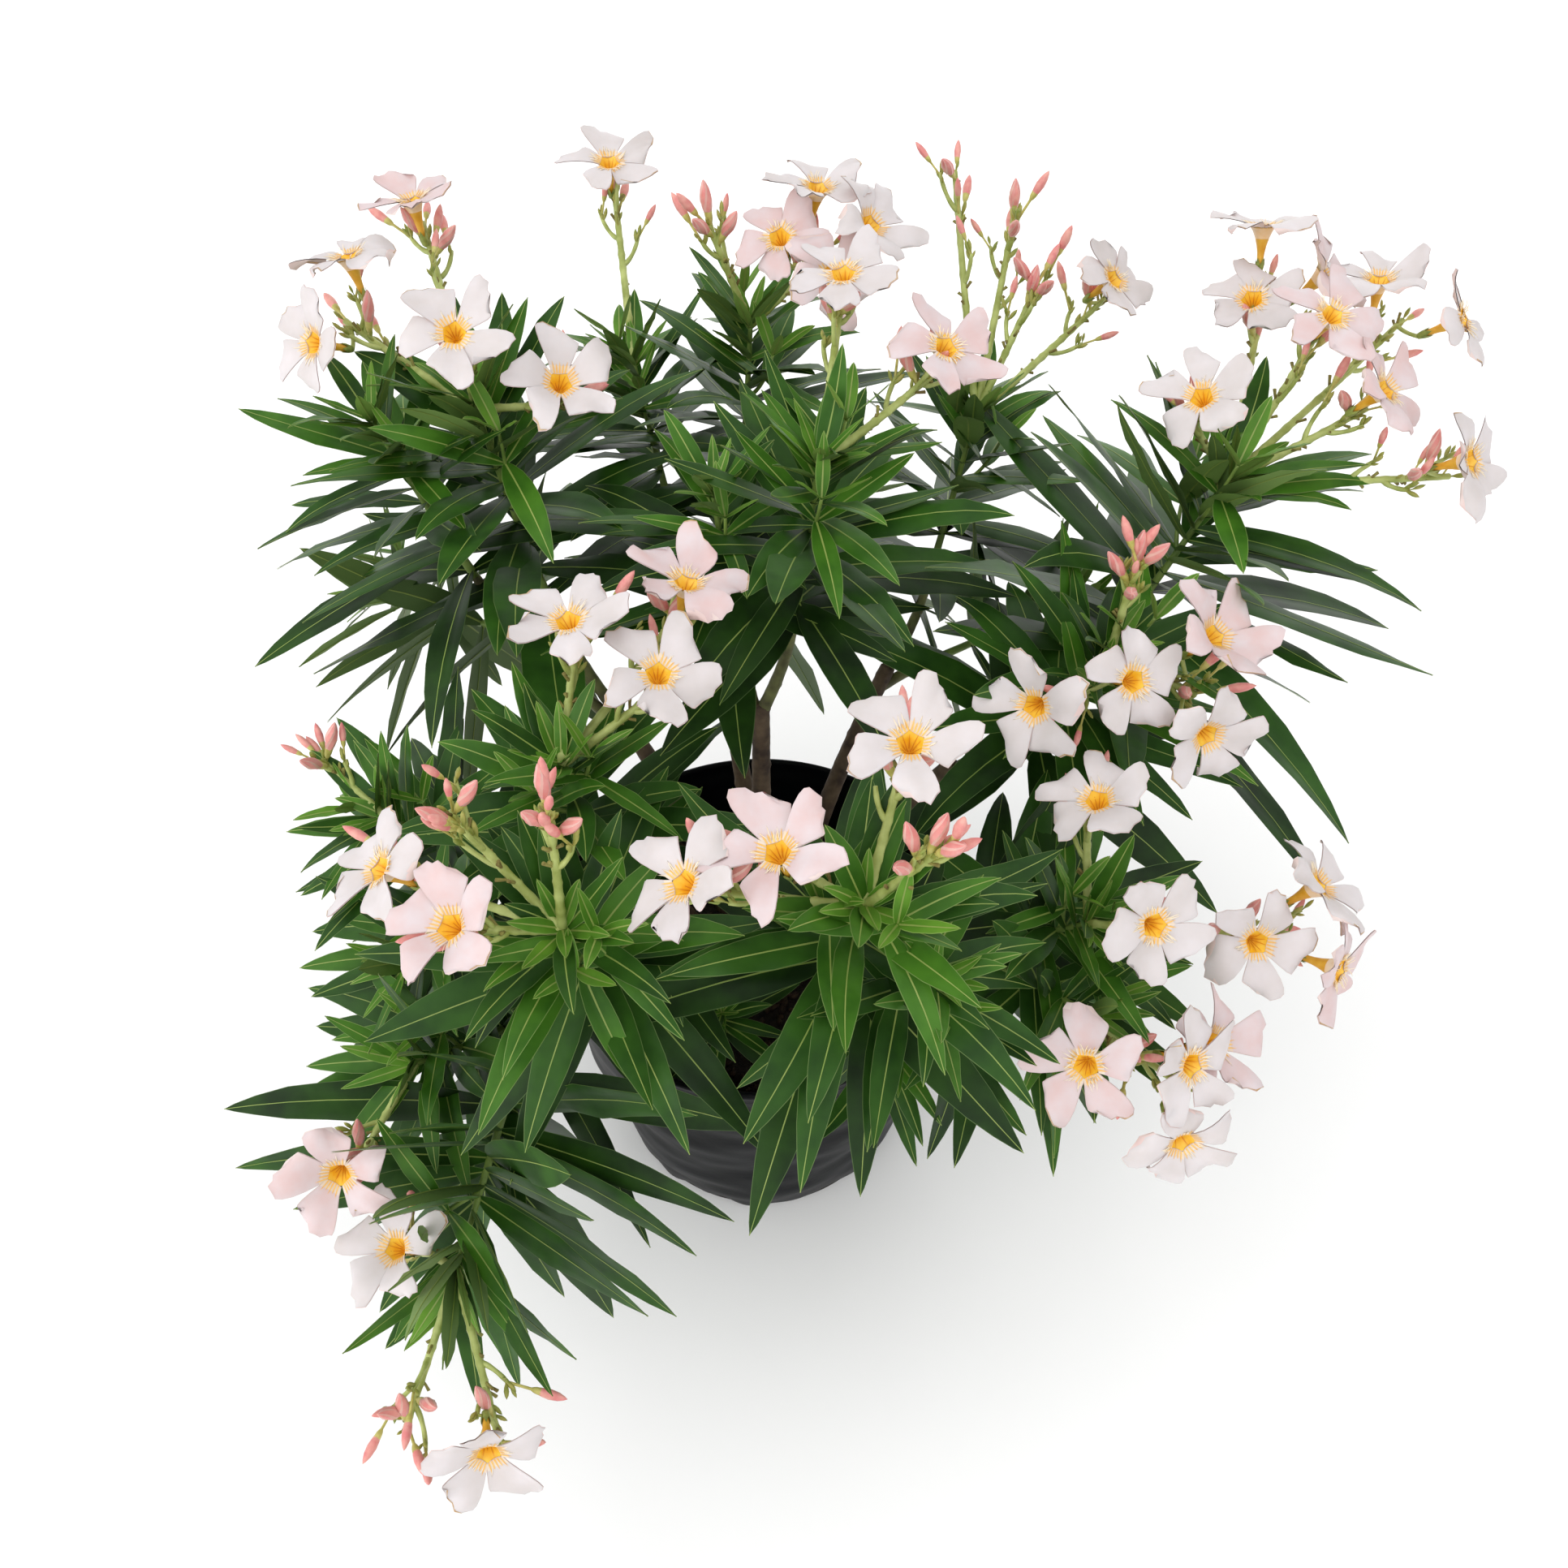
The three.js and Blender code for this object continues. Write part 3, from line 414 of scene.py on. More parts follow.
def capped(radii):
    """Radii whose first row and last rows close to the axis, so a skin has closed round ends."""
    radii = radii.copy()
    radii[:, 0] = 0
    radii[:, -2] *= 0.72
    radii[:, -1] = 0
    return radii


def piped(name, slot, material, *runs):
    """One piece of round skins with closed ends. Each run is curves, their radii, shares and sides."""
    grids = [tubes(bends, capped(radii), shares, sides) for bends, radii, shares, sides in runs]
    return surface(name, grids, material, around=True)


def shoot_bend(stem_name, tip, leafy, lift):
    """A shoot's leafy stretch: it leaves its foot along the line from the stem, turned upwards by
    its lift, and reaches its growing tip a little higher than it first aimed."""
    end = polar(*tip)
    foot, fork, _ = STEMS[stem_name]
    lean = unit(unit(end - (polar(*fork) if fork else polar(*foot, SOIL_TOP))) + lift * UP)
    start = end - leafy * lean
    return np.stack([start, start + lean * leafy / 2 - 0.04 * leafy * UP, end])


def stem_bend(stem_name, shoot):
    """A stem rises from the mix and leans out towards its fork, or into its only shoot."""
    foot, fork, _ = STEMS[stem_name]
    start = polar(*foot, SOIL_TOP + SOIL_GAP)
    if fork:
        end = polar(*fork)
        return np.stack([start, start + 0.4 * (end - start) + 0.16 * np.linalg.norm(end - start) * UP, end])
    end = shoot[0]
    lean = unit(shoot[1] - shoot[0])
    return np.stack([start, end - 0.45 * np.linalg.norm(end - start) * lean, end])


shoot_bends = {name: shoot_bend(*shoot[:4]) for name, shoot in SHOOTS.items()}
carried = {stem: [name for name in SHOOTS if SHOOTS[name][0] == stem] for stem in STEMS}
stem_bends = {stem: stem_bend(stem, shoot_bends[carried[stem][0]]) for stem in STEMS}
stem_shares = shares_to_end(STEM_ROWS)
stem_ends = np.array([STEMS[stem][2] for stem in STEMS])
all_stems = np.stack([stem_bends[stem] for stem in STEMS])
stem_radii = stem_ends[:, :1] + (stem_ends[:, 1:] - stem_ends[:, :1]) * stem_shares
stem_radii *= 1 + STEM_FLARE * np.exp(-stem_shares / FLARE_SHARE)
stem_skin = stem_radii[..., None] + bark_relief(spans(all_stems), stem_shares, STEM_SIDES, 0.55, 0.7)
# Each foot is sunk a little way into the mix.
sunk = all_stems.copy()
sunk[:, 0, 2] -= 4
# Smooth young bark, thin and dry: brown with paler flecks, hardly any gloss.
young_bark = mottled("thin_oleander_bark", "3f2f25", "6d5a45", 9, 0.78, 0.35)
stems = piped("stems", "bark", young_bark, (sunk, stem_skin, stem_shares, STEM_SIDES))
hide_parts(*("stem_" + stem for stem in STEMS))

# ---- Boughs ----
# The side limbs of each fork, two or three years old: slimmer, olive-green under a thin brown skin,
# each leaving its stem a little below the fork and running into its leafy shoot without a step.

BOUGH_SIDES = 14
BOUGH_ROWS = 110
# How thick a bough starts, as a share of its stem's end, and where on its stem the first starts.
BOUGH_SHARE, FORK_SHARE, FORK_DROP = 0.78, 0.97, 0.06
SHOOT_RADII = (2.6, 1.3)


def bough_bend(stem, shoot, order):
    """A bough starts on its stem's axis a little below the fork, lower for each next one, and
    reaches the foot of its shoot in line with it."""
    start = course(stem[None], FORK_SHARE - FORK_DROP * order)[0][0, 0]
    lean = unit(shoot[1] - shoot[0])
    return np.stack([start, shoot[0] - 0.45 * np.linalg.norm(shoot[0] - start) * lean, shoot[0]])


forked = {
    name: (stem, order)
    for stem in STEMS if STEMS[stem][1]
    for order, name in enumerate(carried[stem])
}
all_boughs = np.stack([
    bough_bend(stem_bends[stem], shoot_bends[name], order) for name, (stem, order) in forked.items()
])
bough_foot = BOUGH_SHARE * np.array([STEMS[stem][2][1] for stem, _ in forked.values()])
bough_shares = shares_to_end(BOUGH_ROWS)
bough_radii = bough_foot[:, None] + (SHOOT_RADII[0] - bough_foot)[:, None] * bough_shares
bough_skin = bough_radii[..., None] + bark_relief(spans(all_boughs), bough_shares, BOUGH_SIDES, 0.4, 1.9)
# Green wood under a thin skin: olive with brown patches, a faint waxy gloss.
green_bark = mottled("green_oleander_bark", "4d4a2c", "7c8049", 12, 0.6, 0.2)
boughs = piped("boughs", "green_bark", green_bark, (all_boughs, bough_skin, bough_shares, BOUGH_SIDES))
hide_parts(*("bough_" + name for name in forked))

# ---- Leafy shoots ----
# This year's growth, green and soft: one shoot at the end of each bough, and up to two short side
# twigs near its tip, which sprout below the flowers.

TWIG_SIDES = 10
TWIG_ROWS = 24
TWIG_TURN = 137
SIDE_TWIGS = (0.62, 0.8)


def seeded(seed):
    """Random numbers from 0 to 1 that are the same on every run."""
    state = [seed]

    def draw():
        state[0] = (1664525 * state[0] + 1013904223) % 2**32
        return state[0] / 2**32
    return draw


def square_to(direction):
    """Two unit vectors square to a direction and to each other."""
    helper = np.array([1.0, 0, 0]) if abs(direction[2]) > 0.9 else UP
    first = unit(np.cross(helper, direction))
    return first, np.cross(direction, first)


def side_twig(shoot, share, heading, length):
    """A short twig that leaves its shoot at a share of the way, half outwards, and curves up."""
    point, lean = (found[0, 0] for found in course(shoot[None], share))
    east, north = square_to(lean)
    angle = math.radians(heading)
    away = east * math.cos(angle) + north * math.sin(angle)
    end = point + length * unit(lean + 0.7 * away + 0.25 * UP)
    return np.stack([point, point + 0.45 * length * unit(lean + 1.3 * away), end])


twig_bends = {}
for index, (name, shoot) in enumerate(SHOOTS.items()):
    random = seeded(40009 + 89 * index)
    count = 2 if shoot[5] > 6 else 1 if shoot[5] > 4 else 0
    turn = 360 * random()
    for k in range(count):
        reach = shoot[2] * (0.3 + 0.12 * random())
        twig_bends[name, k] = side_twig(shoot_bends[name], SIDE_TWIGS[k], turn + TWIG_TURN * k, reach)
twig_shares = shares_to_end(TWIG_ROWS)
main_twigs = np.stack(list(shoot_bends.values()))
side_twigs = np.stack(list(twig_bends.values()))
main_radii = np.tile(SHOOT_RADII[0] + (SHOOT_RADII[1] - SHOOT_RADII[0]) * twig_shares, (len(main_twigs), 1))
side_radii = np.tile(1.35 - 0.5 * twig_shares, (len(side_twigs), 1))
# Soft green shoot: smooth, slightly waxy skin.
shoot_skin = mottled("soft_green_shoot", "5c7433", "87a04c", 14, 0.5)
twigs = piped(
    "shoots_and_twigs", "green_bark", shoot_skin,
    (main_twigs, main_radii, twig_shares, TWIG_SIDES), (side_twigs, side_radii, twig_shares, TWIG_SIDES),
)
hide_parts(*("mass_" + name for name in SHOOTS))

# ---- Flower stalks ----
# Each truss stands on a fleshy stalk from the growing tip. It is knobbly where earlier flowers and
# bracts have dropped, and carries the stubs they leave.

LIGHT = unit(np.array([0, -0.55, 0.83]))
BLOOM_SPREAD = 24.0
BLOOM_LEAN = (0.35, 0.75)
HUB_DROP = 26.0
LARGE_BUD = 27.0
STALK_SIDES = 8
STALK_ROWS = 40
STALK_JOINTS = 8.5
STALK_RADIUS, STALK_TAPER, JOINT_SWELL = 2.3, 0.7, 0.4
SPRIG_PLACES = (0.55, 0.7, 0.84)
STUBS = 8


def aim(heading, tilt):
    """The unit vector with a heading and a tilt from upright, both in degrees."""
    return polar(heading, math.sin(math.radians(tilt)), math.cos(math.radians(tilt)))


stalk_bends = []
blooms = []
buds = []
for index, (name, shoot) in enumerate(SHOOTS.items()):
    random = seeded(7919 + 101 * index)
    tip = shoot_bends[name][2]
    east, north = square_to(LIGHT)
    for heading, tilt, length, opened, closed in shoot[6]:
        first = 2 * math.pi * random()
        spins = [72 * random() for _ in range(opened)]
        spreads = [0.85 * (0.6 + 0.6 * random()) for _ in range(closed)]

        def fan(share):
            """The unit vector at a share of a full turn round the light."""
            angle = first + 2 * math.pi * share
            return east * math.cos(angle) + north * math.sin(angle)
        middle = tip + length * aim(heading, tilt)
        hub = middle - HUB_DROP * LIGHT if opened else middle
        stalk = np.stack([tip, (tip + hub) / 2 - [0, 0, 0.03 * length], hub])
        stalk_bends.append(stalk)
        roots = course(stalk[None], 0.97 - 0.08 * np.arange(opened + closed))[0][0]
        for k, spin in enumerate(spins):
            outward = fan(k / opened)
            facing = unit(LIGHT + 0.8 * aim(heading, tilt) + BLOOM_LEAN[opened > 1] * outward)
            blooms.append((roots[k], middle + (BLOOM_SPREAD if opened > 1 else 0) * outward, facing, spin))
        for k, spread in enumerate(spreads):
            direction = unit(UP + 0.4 * LIGHT + spread * fan((k + 0.5) / closed))
            buds.append((roots[opened + k], direction, LARGE_BUD))
all_stalks = np.stack(stalk_bends)
stalk_shares = shares_to_end(STALK_ROWS)
stalk_run = spans(all_stalks)[:, None] * stalk_shares
joint = np.exp(-(((stalk_run % STALK_JOINTS) - 4.2) / 1.1) ** 2)
stalk_radii = STALK_RADIUS - STALK_TAPER * stalk_shares + JOINT_SWELL * joint
# Fleshy flower stalk: pale yellow-green, drifting to olive, with a soft waxy skin.
stalk_skin = mottled("fleshy_flower_stalk", "8f9b48", "bdc87a", 10, 0.5)
piped("flower_stalks", "flower_stalk", stalk_skin, (all_stalks, stalk_radii, stalk_shares, STALK_SIDES))

# Short side sprigs leave every stalk in its upper half; young buds crowd their ends too.
sprig_bends = []
draw = np.random.default_rng(29)
for stalk in all_stalks:
    turn = draw.uniform(0, 360)
    for k, share in enumerate(SPRIG_PLACES):
        reach = draw.uniform(15, 25) * min(spans(stalk[None])[0] / 70, 1)
        sprig_bends.append(side_twig(stalk, share, turn + TWIG_TURN * k, reach))
all_sprigs = np.stack(sprig_bends)
sprig_shares = shares_to_end(10)
sprig_swell = 0.22 * np.sin(22 * sprig_shares) ** 2
sprig_radii = np.tile(1.35 - 0.35 * sprig_shares + sprig_swell, (len(all_sprigs), 1))
piped("flower_sprigs", "flower_stalk", stalk_skin, (all_sprigs, sprig_radii, sprig_shares, 7))

# Stubs stand where flowers have dropped, on the upper two thirds of each stalk.
draw = np.random.default_rng(23)
owner = np.repeat(all_stalks, STUBS, axis=0)
stub_root, stub_lean = (found[:, 0] for found in course(owner, draw.uniform(0.35, 0.98, (len(owner), 1))))
# One number for each stub is passed over, which keeps the next draws in their order.
draw.random(len(owner))
stub_side = unit(np.cross(stub_lean, unit(draw.normal(size=stub_lean.shape))))
stub_end = stub_root + draw.uniform(3.5, 7.5, (len(owner), 1)) * unit(0.8 * stub_lean + stub_side)
stub_bends = np.stack([stub_root, (stub_root + stub_end) / 2 + 0.8 * stub_side, stub_end], axis=1)
stub_shares = np.array([0, 0.5, 1.0, 1.02, 1.04])
stub_radii = np.tile([1.0, 0.75, 0.95, 0.7, 0], (len(owner), 1))
# Dried scars and bracts: brown, dry and dull.
scar_skin = mottled("dry_bract_scars", "6b5a2c", "93904a", 4, 0.8)
stubs = tubes(stub_bends, stub_radii, stub_shares, 6)
surface("stalk_stubs", [stubs], scar_skin, around=True)

# ---- Blooms ----
# Single flowers of five petals on a funnel: thin white petals with a breath of pink on their backs
# and rims, a yellow throat with orange streaks, and pale torn threads round its mouth.

PETALS = 5
PETAL_LENGTH = 21.0
PETAL_ROOT = 5.0
PETAL_ROWS = np.array([0, 0.14, 0.34, 0.54, 0.72, 0.87, 1.0])
PETAL_COLUMNS = np.linspace(-1, 1, 7)
PETAL_WAIST, PETAL_SWELL = 4.0, 6.7
PETAL_BACK, PETAL_EDGE = 0.35, 0.25
DRIED_SHARE = 0.3
# Profiles of radius and height from a bloom's centre.
THROAT = np.array([[0.2, -9.5], [1.5, -8], [2.5, -5.2], [3.9, -2.4], [5.4, -0.2], [6.6, 0.9]])
FUNNEL = np.array([
    [0.6, -23], [1.3, -21.5], [1.7, -17], [2.0, -13], [2.6, -9.5], [3.7, -5.5], [5.3, -1.6], [6.7, 0.5],
])
CALYX = np.array([[0.2, -24.5], [1.6, -23.4], [2.2, -21.0], [2.6, -19.0]])
CALYX_SIDES = 10
SEPAL_LENGTH = 3.6
THROAT_STREAKS = 10
THREADS_TO_PETAL = 5
PEDICEL_RADIUS = 1.15


def columns_of(rows):
    """The columns of a list of rows, each as an array."""
    return [np.array(column) for column in zip(*rows)]


bloom_root, bloom_centre, bloom_facing, bloom_turn = columns_of(blooms)
bloom_first, bloom_second = columns_of(map(square_to, bloom_facing))
bloom_spin = np.radians(bloom_turn)
bloom_count = len(blooms)


def compass(owner, angle):
    """Outward and sideways unit vectors at each angle round its bloom's own axis."""
    out = bloom_first[owner] * np.cos(angle)[:, None] + bloom_second[owner] * np.sin(angle)[:, None]
    return out, np.cross(bloom_facing[owner], out)


def places(spokes):
    """The bloom that each of its spokes belongs to, and each spoke's even angle round it."""
    owner = np.repeat(np.arange(bloom_count), spokes)
    return owner, bloom_spin[owner] + np.tile(2 * math.pi * np.arange(spokes) / spokes, bloom_count)


def turned(profile, sides, scallop=0.0):
    """A profile of (radius, height) turned about each bloom's own axis from its centre; scallop
    pushes the rim out and in once for each petal."""
    turn = 2 * math.pi * np.arange(sides) / sides
    radius, rise = profile[:, :1], profile[:, 1:]
    radius = radius * (1 + scallop * np.cos(PETALS * turn) * np.linspace(0, 1, len(profile))[:, None] ** 2)
    out = compass(*places(sides))[0].reshape(bloom_count, 1, sides, 3)
    lift = bloom_facing[:, None, None] * rise[None, :, :, None]
    return bloom_centre[:, None, None] + radius[None, ..., None] * out + lift


def petal_grids(draw, back, edge):
    """Petals as u across and v along: half width waist + swell sin(90 v / 0.8)^1.3, longer on the leading
    side, the end cut oblique, rounded and waved. Each rises from the throat, spreads and curls back,
    with one side higher, its root hollowed and ripples that grow towards the end. The back sheet
    lies a little behind the front one, and its edge a little further out."""
    count = PETALS * bloom_count
    owner, angle = places(PETALS)
    angle = angle + draw.normal(0, 0.06, count)
    length = PETAL_LENGTH * np.repeat(draw.uniform(0.9, 1.08, bloom_count), PETALS)
    length = length * draw.uniform(0.93, 1.07, count)
    broad = draw.uniform(0.85, 1.15, count)
    oblique = draw.uniform(0.12, 0.32, count)
    curl = draw.normal(1.5, 3.2, count)
    lift = np.repeat(draw.uniform(1.0, 9.0, bloom_count), PETALS) + draw.normal(0, 1.8, count)
    tilt = draw.uniform(0.5, 3.8, count)
    ripple = draw.uniform(0.6, 2.3, count)
    phase = draw.uniform(0, 2 * math.pi, count)
    v = PETAL_ROWS[None, :, None]
    u = PETAL_COLUMNS[None, None, :]
    of = (slice(None), None, None)
    half = (PETAL_WAIST + PETAL_SWELL * np.sin(math.pi / 2 * np.minimum(v / 0.8, 1)) ** 1.3) * broad[of]
    half = half * (1 - 0.22 * np.clip((v - 0.8) / 0.2, 0, 1) ** 2) + edge
    reach = PETAL_ROOT + length[of] * (v + oblique[of] * u * v**3 - 0.2 * np.abs(u) ** 3 * v**6)
    reach = reach + 0.8 * np.sin(9 * u + phase[of]) * v**8 + edge * v
    sideways = half * u + 2.2 * v**2
    rise = 0.6 + lift[of] * np.sin(0.6 * math.pi * v) - curl[of] * v**3 + tilt[of] * u * v
    rise = rise + ripple[of] * np.sin(4.2 * u + phase[of]) * v**2 + 0.9 * u**2 * (1 - v) - back
    out, side = compass(owner, angle)
    grid = bloom_centre[owner][of] + reach[..., None] * out[of] + sideways[..., None] * side[of]
    return grid + rise[..., None] * bloom_facing[owner][of]


fronts = petal_grids(np.random.default_rng(41), 0.0, 0.0)
backs = petal_grids(np.random.default_rng(41), PETAL_BACK, PETAL_EDGE)
# Thin living petals: white, soft and faintly translucent, which fills their shadows with light.
# Every third bloom is flushed with pink, and all are pinker behind.
PETAL_GLOW = dict(Subsurface_Weight=0.2, Subsurface_Scale=0.004, Subsurface_Radius=(1.0, 0.8, 0.7))
petal_white = mottled("white_petal", "d0c8c6", "dbd4d5", 18, 0.6, **PETAL_GLOW)
petal_blush = mottled("blush_petal_back", "e3c6c1", "e8d8d3", 16, 0.6, **PETAL_GLOW)
petal_flush = mottled("flushed_petal", "d9bdbb", "dbced0", 15, 0.6, **PETAL_GLOW)
petal_claw = mottled("cream_petal_base", "e6d0b6", "e6d9cc", 6, 0.6)
blushes = np.repeat(np.arange(bloom_count) % 3 == 1, PETALS)
surface("petal_faces", [fronts[~blushes][:, 1:]], petal_white, turned_over=True)
surface("blush_petal_faces", [fronts[blushes][:, 1:]], petal_flush, turned_over=True)
surface("petal_bases", [fronts[:, :2]], petal_claw, turned_over=True)
surface("petal_backs", [backs], petal_blush)


def ray_grids():
    """Five tapering rays on every petal's root: each follows a column of the petal's grid over its
    first rows, a third of a millimetre above the face, and narrows to a point."""
    columns = np.array([1, 2, 3, 4, 5])
    facing = np.repeat(bloom_facing, PETALS, axis=0)[:, None, None]
    spine = fronts[:, :3, columns] + 0.3 * facing
    spine[:, 2] = spine[:, 1] + (0.15 + 0.2 * (columns % 2))[None, :, None] * (spine[:, 2] - spine[:, 1])
    side = unit(fronts[:, :3, columns + 1] - fronts[:, :3, columns - 1])
    half = np.array([0.42, 0.26, 0.03])[None, :, None, None] * side
    pairs = np.stack([spine - half, spine + half], axis=3)
    return np.moveaxis(pairs, 2, 1).reshape(-1, 3, 2, 3)


def rim_grids(draw):
    """Narrow uneven strips along the far end of some petals, where the sun has dried them: from the
    edge a small part of the last row's way back, a little above the face."""
    dried = draw.random(len(fronts)) < DRIED_SHARE
    facing = np.repeat(bloom_facing, PETALS, axis=0)[dried, None]
    end, before = fronts[dried, -1], fronts[dried, -2]
    back = end + draw.uniform(0.04, 0.3, (len(end), 7, 1)) * (before - end)
    return np.stack([back + 0.12 * facing, end + 0.12 * facing], axis=1)


# Dry petal rims: tan and dull. The rays that run out from the throat are a soft amber.
dry_rim = mottled("dry_petal_rims", "b08d66", "cfb592", 4, 0.8)
ray_yellow = mottled("amber_petal_rays", "f0b44e", "f3c878", 4, 0.55)
surface("petal_rims", [rim_grids(np.random.default_rng(61))], dry_rim, turned_over=True)
surface("petal_rays", [ray_grids()], ray_yellow, turned_over=True)

# The throat has a moist sheen; its streaks are a deeper orange.
throat_yellow = mottled("yellow_throat", "f9bd22", "fdd652", 5, 0.45)
throat_orange = mottled("orange_throat_streaks", "d98a1e", "e8a030", 3, 0.5)
thread_cream = mottled("cream_throat_threads", "f3dfba", "f7ecd8", 3, 0.6)
cone = turned(THROAT, 20, scallop=0.12)[:, :, ::-1]
surface("flower_throats", [cone], throat_yellow, around=True)


def streak_grids(draw):
    """Narrow strips up the throat's wall, each an arrow of two columns that lies a little proud."""
    owner, angle = places(THROAT_STREAKS)
    angle = angle + draw.normal(0, 0.05, len(owner))
    radius = np.array([0.5, 1.6, 2.6, 3.9, 5.2])
    rise = np.array([-8.6, -7.4, -4.7, -2.0, 0.1])
    width = np.array([0.4, 0.4, 0.4, 0.35, 0.1])
    length = draw.uniform(0.82, 1.08, (len(owner), 1))
    out, side = compass(owner, angle)
    spine = bloom_centre[owner][:, None] + (radius * length)[..., None] * out[:, None]
    spine = spine + (rise * (2 - length))[..., None] * bloom_facing[owner][:, None]
    half = (width[:, None] * side[:, None]) / 2
    return np.stack([spine + half, spine - half], axis=2)


def thread_bends(draw):
    """Threads from the throat's mouth: each rises, leans outwards and bends at its end."""
    owner, angle = (np.repeat(found, THREADS_TO_PETAL) for found in places(PETALS))
    out, side = compass(owner, angle + draw.normal(0, 0.26, len(owner)))
    facing = bloom_facing[owner]
    size = draw.uniform(3.5, 7.5, (len(owner), 1))
    root = bloom_centre[owner] + 6.0 * out + 0.6 * facing
    middle = root + 0.55 * size * unit(out + 1.1 * facing)
    end = middle + 0.6 * size * unit(out + 0.2 * facing + draw.normal(0, 0.6, (len(owner), 1)) * side)
    return np.stack([root, middle, end], axis=1)


surface("throat_streaks", [streak_grids(np.random.default_rng(43))], throat_orange)
threads = thread_bends(np.random.default_rng(47))
thread_shares = np.array([0, 0.001, 0.4, 0.75, 1.0])
thread_radii = np.tile([0, 0.34, 0.27, 0.2, 0], (len(threads), 1))
threads = tubes(threads, thread_radii, thread_shares, 4)
surface("throat_threads", [threads], thread_cream, around=True)

# Below the petals the funnel narrows from peach to ochre, and sits in a small green calyx.
funnel_peach = mottled("peach_funnel", "f3c98f", "f7dfc3", 8, 0.55)
funnel_ochre = mottled("ochre_flower_tube", "d99a1e", "e9b640", 6, 0.5)
calyx_green = mottled("green_calyx", "6f7f35", "a3ad58", 4, 0.55)
funnel = turned(FUNNEL, 16, scallop=0.08)
surface("flower_funnels", [funnel[:, 5:]], funnel_peach, around=True)
surface("flower_tubes", [funnel[:, :6]], funnel_ochre, around=True)
# Every second corner of the calyx rises to the tip of a sepal.
cup = turned(CALYX, CALYX_SIDES)
cup[:, -1, ::2] += SEPAL_LENGTH * bloom_facing[:, None]
surface("flower_calyces", [cup], calyx_green, around=True)
pedicel_end = bloom_centre - 23.5 * bloom_facing
pedicel_bend = (bloom_root + pedicel_end) / 2 - 2.5 * bloom_facing
pedicel_bends = np.stack([bloom_root, pedicel_bend, pedicel_end], axis=1)
pedicel_shares = shares_to_end(7)
pedicel_radii = np.full((bloom_count, len(pedicel_shares)), PEDICEL_RADIUS)
piped("pedicels", "flower_stalk", stalk_skin, (pedicel_bends, pedicel_radii, pedicel_shares, 8))

# ---- Buds ----
# Unopened flowers: five petals rolled round each other, so paler edges wind up a pink spindle.
# Small green ones and half-grown rosy ones on short feet of their own crowd the end of every stalk.

BUD_BODY = np.array([
    [0.9, 0.26], [1.9, 0.34], [2.7, 0.45], [3.25, 0.58], [3.1, 0.7], [2.4, 0.82], [1.4, 0.92], [0.5, 0.985],
    [0.0, 1.0],
])
BUD_TWIST = 2.4
BUD_RIDGE = 0.16
BUD_SIDES = 15
FOOT = np.array([[0.9, 0.0], [0.85, 0.12], [1.5, 0.18], [1.9, 0.24], [2.2, 0.36], [2.0, 0.38]])
BUD_FOOT = 0.45
LONG_FOOT = np.vstack([[0.0, -BUD_FOOT - 0.02], [0.95, -BUD_FOOT], [0.85, -0.2], FOOT[1:]])
SMALL_BODY = np.array([[0.8, 0.0], [0.9, 0.2], [2.2, 0.4], [2.7, 0.6], [1.9, 0.82], [0.0, 1.0]])
ROSY_BODY = np.array([[1.5, 0.26], [2.3, 0.4], [2.75, 0.58], [2.2, 0.78], [1.1, 0.92], [0.0, 1.0]])
GREEN_SIZES, ROSY_SIZES = (6, 11), (14, 22)
# How many small buds stand on a stalk and on a sprig, and how far apart along it.
BUD_ROWS = ((all_stalks, 8, 0.035), (all_sprigs, 5, 0.06))
# The dish that a bloom's petals fill: its radius, and its depth behind the bloom's centre.
PETAL_SPREAD, PETAL_DEPTH = 24.0, 5.0


def clear_of_petals(tip):
    """Whether a bud's tip is outside the dish that each bloom's petals fill, or behind it."""
    offset = tip - bloom_centre
    height = (offset * bloom_facing).sum(axis=1)
    spread = np.linalg.norm(offset - height[:, None] * bloom_facing, axis=1)
    return not np.any((spread < PETAL_SPREAD) & (height > -PETAL_DEPTH))


draw = np.random.default_rng(53)
pink_buds, green_buds = [], []
for axes, number, pitch in BUD_ROWS:
    for axis in axes:
        lean = unit(axis[2] - axis[1])
        for k in range(number):
            root = course(axis[None], 1.0 - pitch * k)[0][0, 0]
            direction = unit(lean + 0.5 * UP + 0.8 * unit(draw.normal(size=3)))
            kind, sizes = (pink_buds, ROSY_SIZES) if k % 4 == 1 else (green_buds, GREEN_SIZES)
            size = draw.uniform(*sizes)
            root = root + (BUD_FOOT * size if kind is pink_buds else 0) * direction
            if clear_of_petals(root + size * direction):
                kind.append((root, direction, size))


def bud_grids(listed, profile, sides, stout, twist=0, ridge=0):
    """A profile of (radius, share of length) turned about each bud, its radii those of a large one:
    the turn winds on by the twist over the length, and the radius steps up at five ridges where
    petal overlaps petal."""
    root, direction, length = columns_of(listed)
    first, second = columns_of(map(square_to, direction))
    share = profile[:, 1]
    turn = 2 * math.pi * np.arange(sides)[None] / sides + twist * share[:, None]
    step = 1 + ridge * ((PETALS * np.arange(sides) / sides) % 1 - 0.5)
    radius = stout * profile[:, :1] * step
    wheel = np.cos(turn)[None, ..., None] * first[:, None, None]
    wheel = wheel + np.sin(turn)[None, ..., None] * second[:, None, None]
    spine = root[:, None] + (length[:, None] * share)[..., None] * direction[:, None]
    return spine[:, :, None] + (length / LARGE_BUD)[:, None, None, None] * radius[None, ..., None] * wheel


